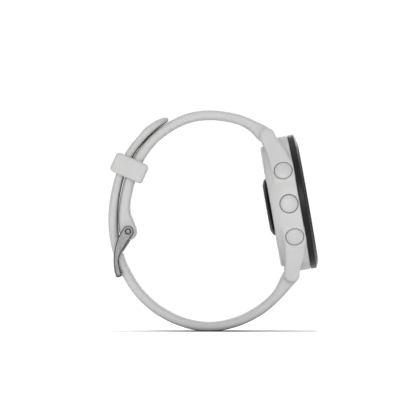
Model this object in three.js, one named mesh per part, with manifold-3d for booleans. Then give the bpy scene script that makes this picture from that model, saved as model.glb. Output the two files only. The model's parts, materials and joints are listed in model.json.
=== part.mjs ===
// A GPS running watch with its strap buckled: a round polymer case with five side buttons, a black
// bezel and a pulse sensor under its back, on a two-part silicone strap with a steel pin buckle.
//
// Millimetres, +Z up. The watch stands on the underside of its strap, which touches the ground at the
// origin. The screen faces +X and leans back a little, 12 o'clock is at the top, and +Y runs from the
// 9 o'clock side, which has three buttons, to the 3 o'clock side, which has two.
import * as THREE from "three";
import { mergeVertices } from "three/addons/utils/BufferGeometryUtils.js";
import Module from "manifold-3d";

const wasm = await Module();
wasm.setup();
const { degToRad } = THREE.MathUtils;

// ---------------------------------------------------------------- driving dimensions

const GAP = 0.1; // between pieces that touch

// The case. Heights are measured from the outer face of the rear cover towards the screen.
const CASE_RADIUS = 21;
const CASE_TILT = degToRad(10);
const CASE_PLACE = { x: 18.8, z: 38.45 };
const HEIGHT = {
  sensorFace: -1.4,
  coverInside: 1.1,
  ledge: 1.75,
  wallFoot: 2.0,
  cavityFloor: 2.4,
  buttonAxis: 5.6,
  board: 7.05,
  caseTop: 8.9,
  bezelFoot: 9.0,
  bezelChamfer: 10.7,
  bezelTop: 11.4,
  lensTop: 11.6,
};
const CAVITY_RADIUS = 17.8;
const COVER_RADIUS = 17.6;
const LEDGE_RADIUS = 15.6;
const RIM_RADIUS = 18.5; // where the flat back turns into the chamfer
const SENSOR_HOLE_RADIUS = 8;

// The lugs and the spring bars in them.
const BAR = { x: 2.7, z: 21.8 }; // in the case's frame
const LUG_RADIUS = 2.4;
const LUG_GAP = 20.1; // between the two lugs of a pair
const LUG_TIP = { y: 13, z: 24 }; // outer corner of a lug, seen on the screen side
const TUBE_RADIUS = 0.9;
const BAR_TIP_RADIUS = 0.5;
const BAR_TIP_END = 11.2;
const LUG_HOLE_RADIUS = 0.65;

// Buttons. Each profile runs along its own axis, from the middle of the case outwards.
const BUTTON_ANGLE = 29.5;
const BUTTON_RADIUS = 2.7;
const BUTTON_RECESS_RADIUS = 2.95;
const STEM_RADIUS = 0.95;
const SEAL_BORE_RADIUS = 1.75;
const BUTTONS = [
  { name: "light", side: -1, degrees: BUTTON_ANGLE },
  { name: "up", side: -1, degrees: 0 },
  { name: "down", side: -1, degrees: -BUTTON_ANGLE },
  { name: "start", side: 1, degrees: BUTTON_ANGLE },
  { name: "back", side: 1, degrees: -BUTTON_ANGLE },
];

// Rear screws.
const SCREW_CIRCLE = 14.8;
const SCREW_DEGREES = [50, 130, 230, 310];

// The strap. Its two parts run round the wrist's middle, and each station on their middle lines is
// [degrees above +X, radius, thickness].
const WRIST = { x: 0.62, z: 34.1 };
const STRAP_WIDTH = 19.6;
const STRAP_END_RADIUS = 2.5;
const BUCKLE_STRAP = [
  [57.1, 31.3, 5.0],
  [60.5, 31.4, 4.8],
  [64, 31.75, 4.0],
  [69, 32.15, 3.3],
  [76, 32.5, 3.0],
  [90, 32.75, 3.0],
  [102, 32.7, 3.0],
  [114, 31.95, 3.0],
  [126, 31.05, 3.0],
  [138, 29.93, 3.25],
  [150, 28.78, 3.35],
  [162, 27.8, 3.4],
  [170, 27.47, 3.5],
  [176, 27.15, 4.0],
  [181, 26.62, 4.94],
  [187.2, 26.2, 5.6],
];
const TAIL_STRAP = [
  [-34.1, 29.73, 5.0],
  [-38, 29.75, 4.6],
  [-42, 30.0, 4.0],
  [-48, 30.5, 3.2],
  [-60, 31.25, 3.05],
  [-75, 32.1, 3.0],
  [-91, 32.68, 3.0],
  [-105, 32.6, 3.0],
  [-120, 32.2, 3.0],
  [-135, 31.65, 3.0],
  [-150, 31.0, 3.0],
  [-160, 30.75, 3.0],
  [-172, 30.62, 2.95],
  [-184, 30.68, 2.9],
  [-196, 31.02, 2.8],
  [-208, 31.86, 2.7],
  [-222, 33.08, 2.65],
  [-231, 33.68, 2.6],
  [-233.8, 34.03, 2.8],
  [-240, 34.38, 2.45],
  [-244, 34.45, 1.9],
  [-247, 34.35, 1.2],
];
// Slots for the tongue, spaced along the tail strap. The tongue is in the one at TONGUE_SLOT.
const SLOT = { length: 6, width: 3, round: 1, pitch: 14.9 };
const TONGUE_SLOT = -159.5;
const SLOT_NUMBERS = [-4, -3, -2, -1, 0, 1, 2, 3, 4];
const TIP_ROUND = 6; // the corners of the tail strap's tip

// The buckle turns about its pin. Its stations are [x, z, thickness] from the pin.
const PIN = { x: -25.25, z: 30.85 };
const PIN_RADIUS = 0.75;
const PIN_HALF_LENGTH = 11.8;
const STRAP_BOSS_RADIUS = 2.75;
const BLADE = { inner: 10.15, outer: 11.9 };
const BLADE_STATIONS = [
  [0, 0, 3.6],
  [-1.3, -2.0, 3.4],
  [-2.4, -4.3, 2.9],
  [-3.3, -6.6, 2.1],
  [-3.7, -8.9, 1.6],
  [-3.45, -11.2, 1.75],
  [-2.75, -13.9, 1.7],
];
const CROSSBAR_TOP = -11.9;
const TONGUE_WIDTH = 2.4;
const TONGUE_LOOP_RADIUS = 1.95;
const TONGUE_STATIONS = [
  [0.5, -1.2, 1.5],
  [0.0, -2.5, 1.3],
  [-2.0, -5.7, 1.2],
  [-3.55, -8.3, 1.1],
  [-4.0, -10.3, 0.9],
  [-3.9, -12.0, 0.8],
  [-3.55, -13.5, 0.7],
];

// The keeper slides along the arc that the two layers of strap share.
const KEEPER_ARC = { x: 3.95, z: 37.5, radius: 31.7, degrees: 155.8 };
const KEEPER = { outer: 10.7, inner: 7.9, width: 23.4, innerWidth: 20.4, length: 6.3, round: 1.1 };

// ---------------------------------------------------------------- materials

const paint = (color, roughness, metalness = 0) =>
  new THREE.MeshStandardMaterial({ color, roughness, metalness });
const MATERIAL = {
  casePolymer: paint(0xd6d6d6, 0.5),
  bezelPolymer: paint(0x1c1c1e, 0.4),
  glass: paint(0x0b0c0e, 0.08),
  blackPolymer: paint(0x0e0e10, 0.25),
  silicone: paint(0xcfcfce, 0.65),
  blackRubber: paint(0x1a1a1a, 0.8),
  steel: paint(0x8b8c8e, 0.35, 1),
  gold: paint(0xc9a24a, 0.3, 1),
  circuitBoard: paint(0x1f4a35, 0.6),
  batteryFoil: paint(0x9fa3a8, 0.4, 0.6),
  brass: paint(0xb89b5e, 0.4, 1),
};

// ---------------------------------------------------------------- solids

// A closed geometry as a manifold-3d solid, and back again.
function toSolid(geometry) {
  const bare = geometry.clone();
  bare.deleteAttribute("normal");
  bare.deleteAttribute("uv");
  const merged = mergeVertices(bare, 1e-4);
  return new wasm.Manifold(
    new wasm.Mesh({
      numProp: 3,
      vertProperties: merged.attributes.position.array,
      triVerts: new Uint32Array(merged.index.array),
    }),
  );
}

function toGeometry(solid) {
  const mesh = solid.getMesh();
  const geometry = new THREE.BufferGeometry();
  geometry.setAttribute("position", new THREE.BufferAttribute(mesh.vertProperties, 3));
  geometry.setIndex(new THREE.BufferAttribute(mesh.triVerts, 1));
  geometry.computeVertexNormals();
  return geometry;
}

const join = (first, ...others) => others.reduce((sum, other) => sum.add(other), first);
const cut = (first, ...others) => others.reduce((rest, other) => rest.subtract(other), first);

// Points [radius, height] go round the solid with the outside on their right, and turn about +Y.
function turnedAboutY(points, segments) {
  const closed = points[0][0] > 0 ? [...points, points[0]] : points;
  return new THREE.LatheGeometry(
    closed.map(([radius, height]) => new THREE.Vector2(radius, height)),
    segments,
  );
}

const turnedAboutX = (points, segments) => turnedAboutY(points, segments).rotateZ(-Math.PI / 2);

// A ring of round section about +X.
function ring(radius, thickness, height, segments, sides) {
  const section = [];
  for (let i = 0; i < sides; i++) {
    const angle = (i / sides) * 2 * Math.PI;
    section.push([
      radius + (thickness / 2) * Math.cos(angle),
      height + (thickness / 2) * Math.sin(angle),
    ]);
  }
  return turnedAboutX(section, segments);
}

const shapeOf = (points) => new THREE.Shape(points.map(([u, v]) => new THREE.Vector2(u, v)));

// An outline in X and Z, pushed along Y.
function sidePrism(points, yLow, yHigh) {
  const flat = new THREE.ExtrudeGeometry(shapeOf(points), {
    depth: yHigh - yLow,
    bevelEnabled: false,
  });
  return flat.rotateX(Math.PI / 2).translate(0, yHigh, 0);
}

// An outline in Y and Z, pushed along X.
function planPrism(points, xLow, xHigh) {
  const flat = new THREE.ExtrudeGeometry(shapeOf(points), {
    depth: xHigh - xLow,
    bevelEnabled: false,
  });
  const turn = new THREE.Matrix4().makeBasis(
    new THREE.Vector3(0, 1, 0),
    new THREE.Vector3(0, 0, 1),
    new THREE.Vector3(1, 0, 0),
  );
  return flat.applyMatrix4(turn).translate(xLow, 0, 0);
}

function box(x, y, z) {
  const size = [x, y, z].map(([low, high]) => high - low);
  const middle = [x, y, z].map(([low, high]) => (low + high) / 2);
  return new THREE.BoxGeometry(...size).translate(...middle);
}

// A round rod along X.
const rodX = (radius, xLow, xHigh, y, z, segments) =>
  turnedAboutX([[0, xLow], [radius, xLow], [radius, xHigh], [0, xHigh]], segments).translate(0, y, z);

// A round rod along Y.
const rodY = (radius, yLow, yHigh, x, z, segments) =>
  turnedAboutY([[0, yLow], [radius, yLow], [radius, yHigh], [0, yHigh]], segments).translate(x, 0, z);

function arc(x, z, radius, fromDegrees, toDegrees, steps) {
  const points = [];
  for (let i = 0; i <= steps; i++) {
    const angle = degToRad(fromDegrees + ((toDegrees - fromDegrees) * i) / steps);
    points.push([x + radius * Math.cos(angle), z + radius * Math.sin(angle)]);
  }
  return points;
}

// A rectangle centred on (u, v) with round corners.
function roundedRectangle(width, height, round, u = 0, v = 0, steps = 3) {
  const right = width / 2 - round;
  const top = height / 2 - round;
  return [
    ...arc(u + right, v + top, round, 0, 90, steps),
    ...arc(u - right, v + top, round, 90, 180, steps),
    ...arc(u - right, v - top, round, 180, 270, steps),
    ...arc(u + right, v - top, round, 270, 360, steps),
  ];
}

// A smooth line through stations [x, z, thickness], which carries its thickness along.
const bandLine = (stations) =>
  new THREE.CatmullRomCurve3(stations.map(([x, z, thickness]) => new THREE.Vector3(x, thickness, z)));

// The outline of a band of that thickness, with extra added to both faces.
function bandOutline(stations, steps, extra = 0) {
  const line = bandLine(stations);
  const left = [];
  const right = [];
  for (let i = 0; i <= steps; i++) {
    const at = line.getPoint(i / steps);
    const along = line.getTangent(i / steps).setY(0).normalize();
    const half = at.y / 2 + extra;
    left.push([at.x - along.z * half, at.z + along.x * half]);
    right.push([at.x + along.z * half, at.z - along.x * half]);
  }
  return [...left, ...right.reverse()];
}

const onWrist = ([degrees, radius, thickness]) => [
  WRIST.x + radius * Math.cos(degToRad(degrees)),
  WRIST.z + radius * Math.sin(degToRad(degrees)),
  thickness,
];

// ---------------------------------------------------------------- the case

// Where a button's own frame sits in the case: its +X points out of the wall.
function buttonPlace({ side, degrees }) {
  const angle = degToRad(degrees);
  const out = new THREE.Vector3(0, side * Math.cos(angle), Math.sin(angle));
  const up = new THREE.Vector3(1, 0, 0);
  return new THREE.Matrix4()
    .makeBasis(out, up.clone(), out.clone().cross(up))
    .setPosition(HEIGHT.buttonAxis, 0, 0);
}

// The opening for a button: a recess for its cap, a bore for its seal and a guide for its stem.
function buttonOpening() {
  return turnedAboutX(
    [
      [0, CAVITY_RADIUS - 0.8],
      [STEM_RADIUS + 0.08, CAVITY_RADIUS - 0.8],
      [STEM_RADIUS + 0.08, 18.5],
      [SEAL_BORE_RADIUS, 18.5],
      [SEAL_BORE_RADIUS, 19.5],
      [BUTTON_RECESS_RADIUS, 19.5],
      [BUTTON_RECESS_RADIUS, CASE_RADIUS + 3],
      [0, CASE_RADIUS + 3],
    ],
    20,
  );
}

// A lug from the side, from inside the case wall to its round tip. up is 1 at 12 o'clock, -1 at 6.
function lugSide(up) {
  const back = new THREE.QuadraticBezierCurve(
    new THREE.Vector2(1.95, 13),
    new THREE.Vector2(1.5, 18),
    new THREE.Vector2(BAR.x - LUG_RADIUS, BAR.z),
  );
  const front = new THREE.CubicBezierCurve(
    new THREE.Vector2(BAR.x + LUG_RADIUS, BAR.z),
    new THREE.Vector2(5.5, 19.6),
    new THREE.Vector2(8.6, 16.5),
    new THREE.Vector2(8.75, 10.5),
  );
  const asPair = (point) => [point.x, point.y];
  return [
    [2.2, 6],
    ...back.getPoints(4).map(asPair),
    ...arc(BAR.x, BAR.z, LUG_RADIUS, 180, 0, 8).slice(1, -1),
    ...front.getPoints(7).map(asPair),
    [8.75, 6],
  ].map(([x, z]) => [x, up * z]);
}

// A lug seen on the screen side: its outer face leaves the round wall along a tangent.
function lugPlan(side, up) {
  const reach = Math.hypot(LUG_TIP.y, LUG_TIP.z);
  const tangentAngle = Math.atan2(LUG_TIP.z, LUG_TIP.y) - Math.acos(CASE_RADIUS / reach);
  const tangent = [CASE_RADIUS * Math.cos(tangentAngle), CASE_RADIUS * Math.sin(tangentAngle)];
  const inner = LUG_GAP / 2;
  return [
    [inner, 6],
    [tangent[0] - 1, 6],
    tangent,
    [LUG_TIP.y, LUG_TIP.z],
    [LUG_TIP.y - 0.6, LUG_TIP.z + 0.8],
    [inner, LUG_TIP.z + 0.8],
  ].map(([y, z]) => [side * y, up * z]);
}

// The room for a strap's end between its lugs.
const strapPocket = (up) =>
  [
    [-4, 18.85],
    ...arc(BAR.x, BAR.z, BAR.z - 18.85, -90, 90, 10),
    [BAR.x, 30],
    [-4, 30],
  ].map(([x, z]) => [x, up * z]);

function caseMiddle() {
  const wall = toSolid(
    turnedAboutX(
      [
        [LEDGE_RADIUS, HEIGHT.ledge],
        [COVER_RADIUS + GAP, HEIGHT.ledge],
        [COVER_RADIUS + GAP, 0],
        [RIM_RADIUS, 0],
        [CASE_RADIUS - 0.25, HEIGHT.wallFoot],
        [CASE_RADIUS, HEIGHT.wallFoot + 0.5],
        [CASE_RADIUS, HEIGHT.caseTop],
        [CAVITY_RADIUS, HEIGHT.caseTop],
        [CAVITY_RADIUS, HEIGHT.cavityFloor],
        [LEDGE_RADIUS, HEIGHT.cavityFloor],
      ],
      60,
    ),
  );
  const cavity = toSolid(rodX(CAVITY_RADIUS, HEIGHT.cavityFloor, 12, 0, 0, 60));
  const lugs = [];
  const pockets = [];
  for (const up of [-1, 1]) {
    const side = toSolid(sidePrism(lugSide(up), -20, 20));
    for (const hand of [-1, 1]) {
      const plan = toSolid(planPrism(lugPlan(hand, up), -1, 10));
      lugs.push(side.intersect(plan).subtract(cavity));
    }
    pockets.push(toSolid(sidePrism(strapPocket(up), -LUG_GAP / 2, LUG_GAP / 2)));
    pockets.push(toSolid(rodY(LUG_HOLE_RADIUS, -11.7, 11.7, BAR.x, up * BAR.z, 12)));
  }
  const bosses = SCREW_DEGREES.map((degrees) => {
    const [y, z] = screwPlace(degrees);
    return toSolid(rodX(1.6, 1.2, 6, y, z, 12));
  });
  const threads = SCREW_DEGREES.map((degrees) => {
    const [y, z] = screwPlace(degrees);
    return toSolid(rodX(0.8, 1, 5, y, z, 8));
  });
  const openings = BUTTONS.map((button) =>
    toSolid(buttonOpening().applyMatrix4(buttonPlace(button))),
  );
  return toGeometry(cut(join(wall, ...lugs, ...bosses), ...pockets, ...threads, ...openings));
}

function screwPlace(degrees) {
  const angle = degToRad(degrees);
  return [SCREW_CIRCLE * Math.cos(angle), SCREW_CIRCLE * Math.sin(angle)];
}

// The bezel holds the lens, and has a groove for the antenna in its foot.
const bezel = () =>
  turnedAboutX(
    [
      [17.9, HEIGHT.bezelFoot],
      [18.6, HEIGHT.bezelFoot],
      [18.6, 9.6],
      [19.8, 9.6],
      [19.8, HEIGHT.bezelFoot],
      [CASE_RADIUS + 0.05, HEIGHT.bezelFoot],
      [CASE_RADIUS + 0.05, HEIGHT.bezelChamfer],
      [19.6, HEIGHT.bezelTop],
      [19.45, HEIGHT.bezelTop],
      [19.45, 10.15],
      [17.9, 10.15],
    ],
    60,
  );

const coverLens = () =>
  turnedAboutX(
    [
      [0, 10.35],
      [19.35, 10.35],
      [19.35, 11.4],
      [19.1, HEIGHT.lensTop],
      [0, HEIGHT.lensTop],
    ],
    60,
  );

const lensGasket = () =>
  turnedAboutX([[18.1, 10.2], [19.2, 10.2], [19.2, 10.3], [18.1, 10.3]], 36);

const displayPanel = () =>
  turnedAboutX([[0, 8.75], [15.9, 8.75], [15.9, 9.9], [0, 9.9]], 40);

// A ring round the display, with a lip behind it.
const displayFrame = () =>
  turnedAboutX(
    [
      [14.4, 8.45],
      [16.1, 8.45],
      [16.1, 7.7],
      [17.4, 7.7],
      [17.4, 10],
      [16.1, 10],
      [16.1, 8.65],
      [14.4, 8.65],
    ],
    36,
  );

// An open loop in the bezel's groove.
function gpsAntenna() {
  const outline = [...arc(0, 0, 19.7, 15, 345, 36), ...arc(0, 0, 18.7, 345, 15, 36)];
  return planPrism(outline, 9.05, 9.5);
}

const mainBoard = () => rodX(17, HEIGHT.board, HEIGHT.board + 0.55, 0, 0, 40);
const processorChip = () => box([7.65, 8.3], [2, 9], [-2, 5]);

// A pressed can, open towards the board.
function radioShield() {
  const can = box([7.65, 8.35], [-11, -2], [-7, 5]);
  const inside = box([7, 8.15], [-10.8, -2.2], [-6.8, 4.8]);
  return toGeometry(toSolid(can).subtract(toSolid(inside)));
}

const battery = () => planPrism(roundedRectangle(19, 17.8, 1.2, -1.5, 0), 2.7, 5.7);

// The coin motor that vibrates: a can with a fixed shaft, and a half-disc weight that spins on it and
// hangs towards 6 o'clock when the motor is off.
const MOTOR = { z: 13.2, radius: 4, shaft: 0.35 };
const motorCan = () =>
  turnedAboutX(
    [
      [0, 2.75],
      [MOTOR.radius, 2.75],
      [MOTOR.radius, 5.4],
      [MOTOR.radius - 0.2, 5.4],
      [MOTOR.radius - 0.2, 2.95],
      [MOTOR.shaft, 2.95],
      [MOTOR.shaft, 5.2],
      [0, 5.2],
    ],
    28,
  ).translate(0, 0, MOTOR.z);

function motorRotor() {
  const weight = toSolid(
    planPrism([...arc(0, 0, 3.6, 170, 370, 16), ...arc(0, 0, 1, 10, 170, 8)], 3.1, 5.1),
  );
  const bore = toSolid(rodX(MOTOR.shaft + 0.06, 3, 5.2, 0, 0, 12));
  return toGeometry(weight.subtract(bore)).translate(0, 0, MOTOR.z);
}

const buzzer = () => rodX(4.2, 2.7, 3.8, 0, -13.2, 28);

// The charging socket beside the sensor, and its four contacts.
const SOCKET = { y: 13.2, width: 3.4, length: 7.2, contactRadius: 0.4 };
const CONTACT_Z = [-2.4, -0.8, 0.8, 2.4];

function rearCover() {
  const plate = toSolid(
    turnedAboutX(
      [
        [SENSOR_HOLE_RADIUS, 0],
        [COVER_RADIUS - 0.2, 0],
        [COVER_RADIUS, 0.2],
        [COVER_RADIUS, HEIGHT.coverInside],
        [SENSOR_HOLE_RADIUS, HEIGHT.coverInside],
      ],
      48,
    ),
  );
  const holes = SCREW_DEGREES.flatMap((degrees) => {
    const [y, z] = screwPlace(degrees);
    return [
      toSolid(rodX(1.45, -1, 0.65, y, z, 16)),
      toSolid(rodX(0.8, -1, 2, y, z, 12)),
    ];
  });
  const socket = toSolid(
    planPrism(roundedRectangle(SOCKET.width + 0.2, SOCKET.length + 0.2, 0.8, SOCKET.y, 0), -1, 2),
  );
  return toGeometry(cut(plate, ...holes, socket));
}

const rearGasket = () => ring(17.1, 0.6, 1.42, 36, 6);

const sensorWindow = () =>
  turnedAboutX(
    [
      [0, HEIGHT.sensorFace],
      [7, HEIGHT.sensorFace],
      [7.9, -1.12],
      [8.6, -0.62],
      [9.05, -GAP],
      [SENSOR_HOLE_RADIUS - GAP, -GAP],
      [SENSOR_HOLE_RADIUS - GAP, 1.25],
      [0, 1.25],
    ],
    44,
  );

const sensorBoard = () => rodX(8.2, 1.4, 2, 0, 0, 32);

function chargingSocket() {
  const block = planPrism(roundedRectangle(SOCKET.width, SOCKET.length, 0.7, SOCKET.y, 0), 0.15, 1.95);
  const recess = planPrism(
    roundedRectangle(SOCKET.width - 1, SOCKET.length - 1, 0.5, SOCKET.y, 0),
    -1,
    1.15,
  );
  const holes = CONTACT_Z.map((z) =>
    toSolid(rodX(SOCKET.contactRadius + 0.05, 0, 3, SOCKET.y, z, 12)),
  );
  return toGeometry(cut(toSolid(block), toSolid(recess), ...holes));
}

const chargingContact = (z) => rodX(SOCKET.contactRadius, 0.6, 2.3, SOCKET.y, z, 12);

// A screw with a six-sided socket in its head.
function rearScrew() {
  const body = turnedAboutX(
    [
      [0, 0.08],
      [1.15, 0.08],
      [1.3, 0.2],
      [1.3, 0.6],
      [0.65, 0.6],
      [0.65, 4.6],
      [0, 4.6],
    ],
    16,
  );
  return toGeometry(toSolid(body).subtract(toSolid(rodX(0.6, -1, 0.42, 0, 0, 6))));
}

// ---------------------------------------------------------------- buttons

const buttonCap = () =>
  turnedAboutX(
    [
      [0, 16.6],
      [STEM_RADIUS, 16.6],
      [STEM_RADIUS, 17.3],
      [0.7, 17.3],
      [0.7, 17.6],
      [STEM_RADIUS, 17.6],
      [STEM_RADIUS, 20.3],
      [BUTTON_RADIUS, 20.3],
      [BUTTON_RADIUS, 21.1],
      [2.45, 21.5],
      [1.85, 21.8],
      [1, 21.98],
      [0, 22.05],
    ],
    20,
  );

const buttonSeal = () => ring(1.35, 0.66, 18.95, 14, 6);

// A spring clip in the stem's groove, open on one side.
const buttonClip = () =>
  planPrism([...arc(0, 0, 1.25, 35, 325, 10), ...arc(0, 0, 0.76, 325, 35, 8)], 17.34, 17.56);

// The switch that the stem pushes.
const buttonSwitch = () =>
  toGeometry(
    toSolid(box([14.6, 15.8], [-1, 1], [-1.3, 1.3])).add(toSolid(rodX(0.6, 15.5, 16, 0, 0, 10))),
  );

// ---------------------------------------------------------------- strap and buckle

const barPlace = (up) =>
  new THREE.Vector3(BAR.x, 0, up * BAR.z)
    .applyAxisAngle(new THREE.Vector3(0, 1, 0), -CASE_TILT)
    .add(new THREE.Vector3(CASE_PLACE.x, 0, CASE_PLACE.z));

// The round end of a strap on its spring bar: its boss, and what is cut out of it for the bar and for
// the lever that draws the bar's tip in.
function strapEnd(up) {
  const bar = barPlace(up);
  const half = STRAP_WIDTH / 2;
  const boss = toSolid(rodY(STRAP_END_RADIUS, -half, half, bar.x, bar.z, 24));
  const hole = toSolid(rodY(TUBE_RADIUS + 0.1, -half - 1, half + 1, bar.x, bar.z, 16));
  const leverSlot = toSolid(
    box([-4, 0], [4.3, 8.2], [-0.85, 0.85])
      .rotateY(-leverAngle(up))
      .translate(bar.x, 0, bar.z),
  );
  return { boss, hole, leverSlot };
}

// The lever points to the middle of the wrist.
function leverAngle(up) {
  const bar = barPlace(up);
  return Math.atan2(bar.z - WRIST.z, bar.x - WRIST.x);
}

function buckleStrap() {
  const half = STRAP_WIDTH / 2;
  const band = toSolid(sidePrism(bandOutline(BUCKLE_STRAP.map(onWrist), 36), -half, half));
  const end = strapEnd(1);
  const boss = toSolid(rodY(STRAP_BOSS_RADIUS, -half, half, PIN.x, PIN.z, 24));
  const pinHole = toSolid(rodY(PIN_RADIUS + 0.1, -half - 1, half + 1, PIN.x, PIN.z, 16));
  const tongueNotch = toSolid(
    box([-8, 3.4], [-TONGUE_WIDTH / 2 - 0.3, TONGUE_WIDTH / 2 + 0.3], [-8, 2.3])
      .translate(PIN.x, 0, PIN.z),
  );
  return toGeometry(cut(join(band, end.boss, boss), end.hole, end.leverSlot, pinHole, tongueNotch));
}

// One slot across the tail strap's thickness.
function tongueSlot(number) {
  const outline = roundedRectangle(SLOT.length, SLOT.width, SLOT.round);
  return planPrism(
    outline.map(([along, across]) => [across, along]),
    26,
    36,
  )
    .rotateY(-degToRad(TONGUE_SLOT + number * SLOT.pitch))
    .translate(WRIST.x, 0, WRIST.z);
}

// What rounds off one corner of the tail strap's tip.
function tipCorner(side) {
  const tip = TAIL_STRAP.at(-1);
  const [x, z] = onWrist(tip);
  const inset = STRAP_WIDTH / 2 - TIP_ROUND;
  const outside = STRAP_WIDTH / 2 + 1;
  const outline = [
    [inset, -1],
    [outside, -1],
    [outside, TIP_ROUND],
    ...arc(inset, TIP_ROUND, TIP_ROUND, 0, -90, 6),
  ];
  return planPrism(outline.map(([across, back]) => [side * across, back]), -4, 4)
    .rotateY(-degToRad(tip[0]))
    .translate(x, 0, z);
}

function tailStrap() {
  const half = STRAP_WIDTH / 2;
  const band = toSolid(sidePrism(bandOutline(TAIL_STRAP.map(onWrist), 66), -half, half));
  const end = strapEnd(-1);
  const slots = SLOT_NUMBERS.map((number) => toSolid(tongueSlot(number)));
  const ground = toSolid(box([-40, 40], [-40, 40], [-10, 0]));
  const corners = [-1, 1].map((side) => toSolid(tipCorner(side)));
  return toGeometry(
    cut(join(band, end.boss), end.hole, end.leverSlot, ...slots, ...corners, ground),
  );
}

// A spring bar lies along Y. Its tube and one tip are one piece; the other tip slides, with a lever.
function springBarTube(up) {
  const tube = turnedAboutY(
    [
      [0, -BAR_TIP_END],
      [BAR_TIP_RADIUS - 0.1, -BAR_TIP_END],
      [BAR_TIP_RADIUS, -BAR_TIP_END + 0.15],
      [BAR_TIP_RADIUS, -8.9],
      [TUBE_RADIUS, -8.9],
      [TUBE_RADIUS, 8.9],
      [0.62, 8.9],
      [0.62, -7.2],
      [0, -7.2],
    ],
    16,
  );
  const slot = box([-2, 0], [4.6, 7.9], [-0.5, 0.5]).rotateY(-leverAngle(up));
  return toGeometry(toSolid(tube).subtract(toSolid(slot)));
}

function springBarTip(up) {
  const tip = turnedAboutY(
    [
      [0, 5],
      [0.55, 5],
      [0.55, 8.6],
      [BAR_TIP_RADIUS, 8.8],
      [BAR_TIP_RADIUS, BAR_TIP_END - 0.15],
      [BAR_TIP_RADIUS - 0.1, BAR_TIP_END],
      [0, BAR_TIP_END],
    ],
    16,
  );
  const lever = rodX(0.4, -2.2, 0, 6.7, 0, 12).rotateY(-leverAngle(up));
  return toGeometry(toSolid(tip).add(toSolid(lever)));
}

class Helix extends THREE.Curve {
  constructor(radius, low, high, turns) {
    super();
    Object.assign(this, { radius, low, high, turns });
  }
  getPoint(t, target = new THREE.Vector3()) {
    const angle = t * this.turns * 2 * Math.PI;
    return target.set(
      this.radius * Math.cos(angle),
      this.low + (this.high - this.low) * t,
      this.radius * Math.sin(angle),
    );
  }
}

function springBarSpring() {
  const turns = 6;
  const wire = new THREE.Shape(arc(0, 0, 0.13, 0, 288, 4).map(([u, v]) => new THREE.Vector2(u, v)));
  return new THREE.ExtrudeGeometry(wire, {
    steps: turns * 7,
    extrudePath: new Helix(0.44, -6.9, 4.8, turns),
    bevelEnabled: false,
  });
}

// Two blades, joined below the tongue's tip by a crossbar that lies on the outside of the tail strap.
function buckleFrame() {
  const outline = bandOutline(BLADE_STATIONS, 20);
  const blades = [-1, 1].map((side) => {
    const faces = [side * BLADE.inner, side * BLADE.outer].sort((a, b) => a - b);
    return toSolid(sidePrism(outline, ...faces)).add(
      toSolid(rodY(1.8, ...faces, 0, 0, 20)),
    );
  });
  const crossbar = toSolid(sidePrism(outline, -BLADE.outer, BLADE.outer)).intersect(
    toSolid(box([-10, 10], [-20, 20], [-20, CROSSBAR_TOP])),
  );
  const strapRoom = toSolid(
    sidePrism(bandOutline(TAIL_STRAP.map(onWrist), 66, 0.15), -BLADE.inner, BLADE.inner)
      .translate(-PIN.x, 0, -PIN.z),
  );
  const tongueRest = toSolid(
    sidePrism(bandOutline(TONGUE_STATIONS.slice(-4), 8, GAP), -TONGUE_WIDTH / 2 - 0.2, TONGUE_WIDTH / 2 + 0.2),
  );
  const outside = toSolid(
    box([-8, -3.6], [-TONGUE_WIDTH / 2 - 0.2, TONGUE_WIDTH / 2 + 0.2], [-16, -11]),
  );
  const pinHole = toSolid(rodY(PIN_RADIUS + 0.06, -13, 13, 0, 0, 16));
  return toGeometry(
    cut(join(blades[0], blades[1], cut(crossbar, strapRoom, tongueRest, outside)), pinHole),
  );
}

function buckleTongue() {
  const half = TONGUE_WIDTH / 2;
  const bar = toSolid(sidePrism(bandOutline(TONGUE_STATIONS, 18), -half, half));
  const loop = toSolid(rodY(TONGUE_LOOP_RADIUS, -half, half, 0, 0, 24));
  const hole = toSolid(rodY(PIN_RADIUS + 0.1, -half - 1, half + 1, 0, 0, 16));
  return toGeometry(cut(join(bar, loop), hole));
}

const bucklePin = () =>
  turnedAboutY(
    [
      [0, -PIN_HALF_LENGTH],
      [PIN_RADIUS - 0.2, -PIN_HALF_LENGTH],
      [PIN_RADIUS, -PIN_HALF_LENGTH + 0.2],
      [PIN_RADIUS, PIN_HALF_LENGTH - 0.2],
      [PIN_RADIUS - 0.2, PIN_HALF_LENGTH],
      [0, PIN_HALF_LENGTH],
    ],
    16,
  );

// The keeper's +X points away from the wrist, and the strap runs through it along its +Z.
function keeper() {
  const half = KEEPER.length / 2;
  const outer = toSolid(
    sidePrism(roundedRectangle(KEEPER.outer, KEEPER.length, KEEPER.round), -KEEPER.width / 2, KEEPER.width / 2),
  );
  const opening = toSolid(
    box(
      [-KEEPER.inner / 2, KEEPER.inner / 2],
      [-KEEPER.innerWidth / 2, KEEPER.innerWidth / 2],
      [-half - 1, half + 1],
    ),
  );
  return toGeometry(outer.subtract(opening));
}

// ---------------------------------------------------------------- the assembly

function place(parent, name, geometry, material) {
  const mesh = new THREE.Mesh(geometry, material);
  mesh.name = name;
  parent.add(mesh);
  return mesh;
}

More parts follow.
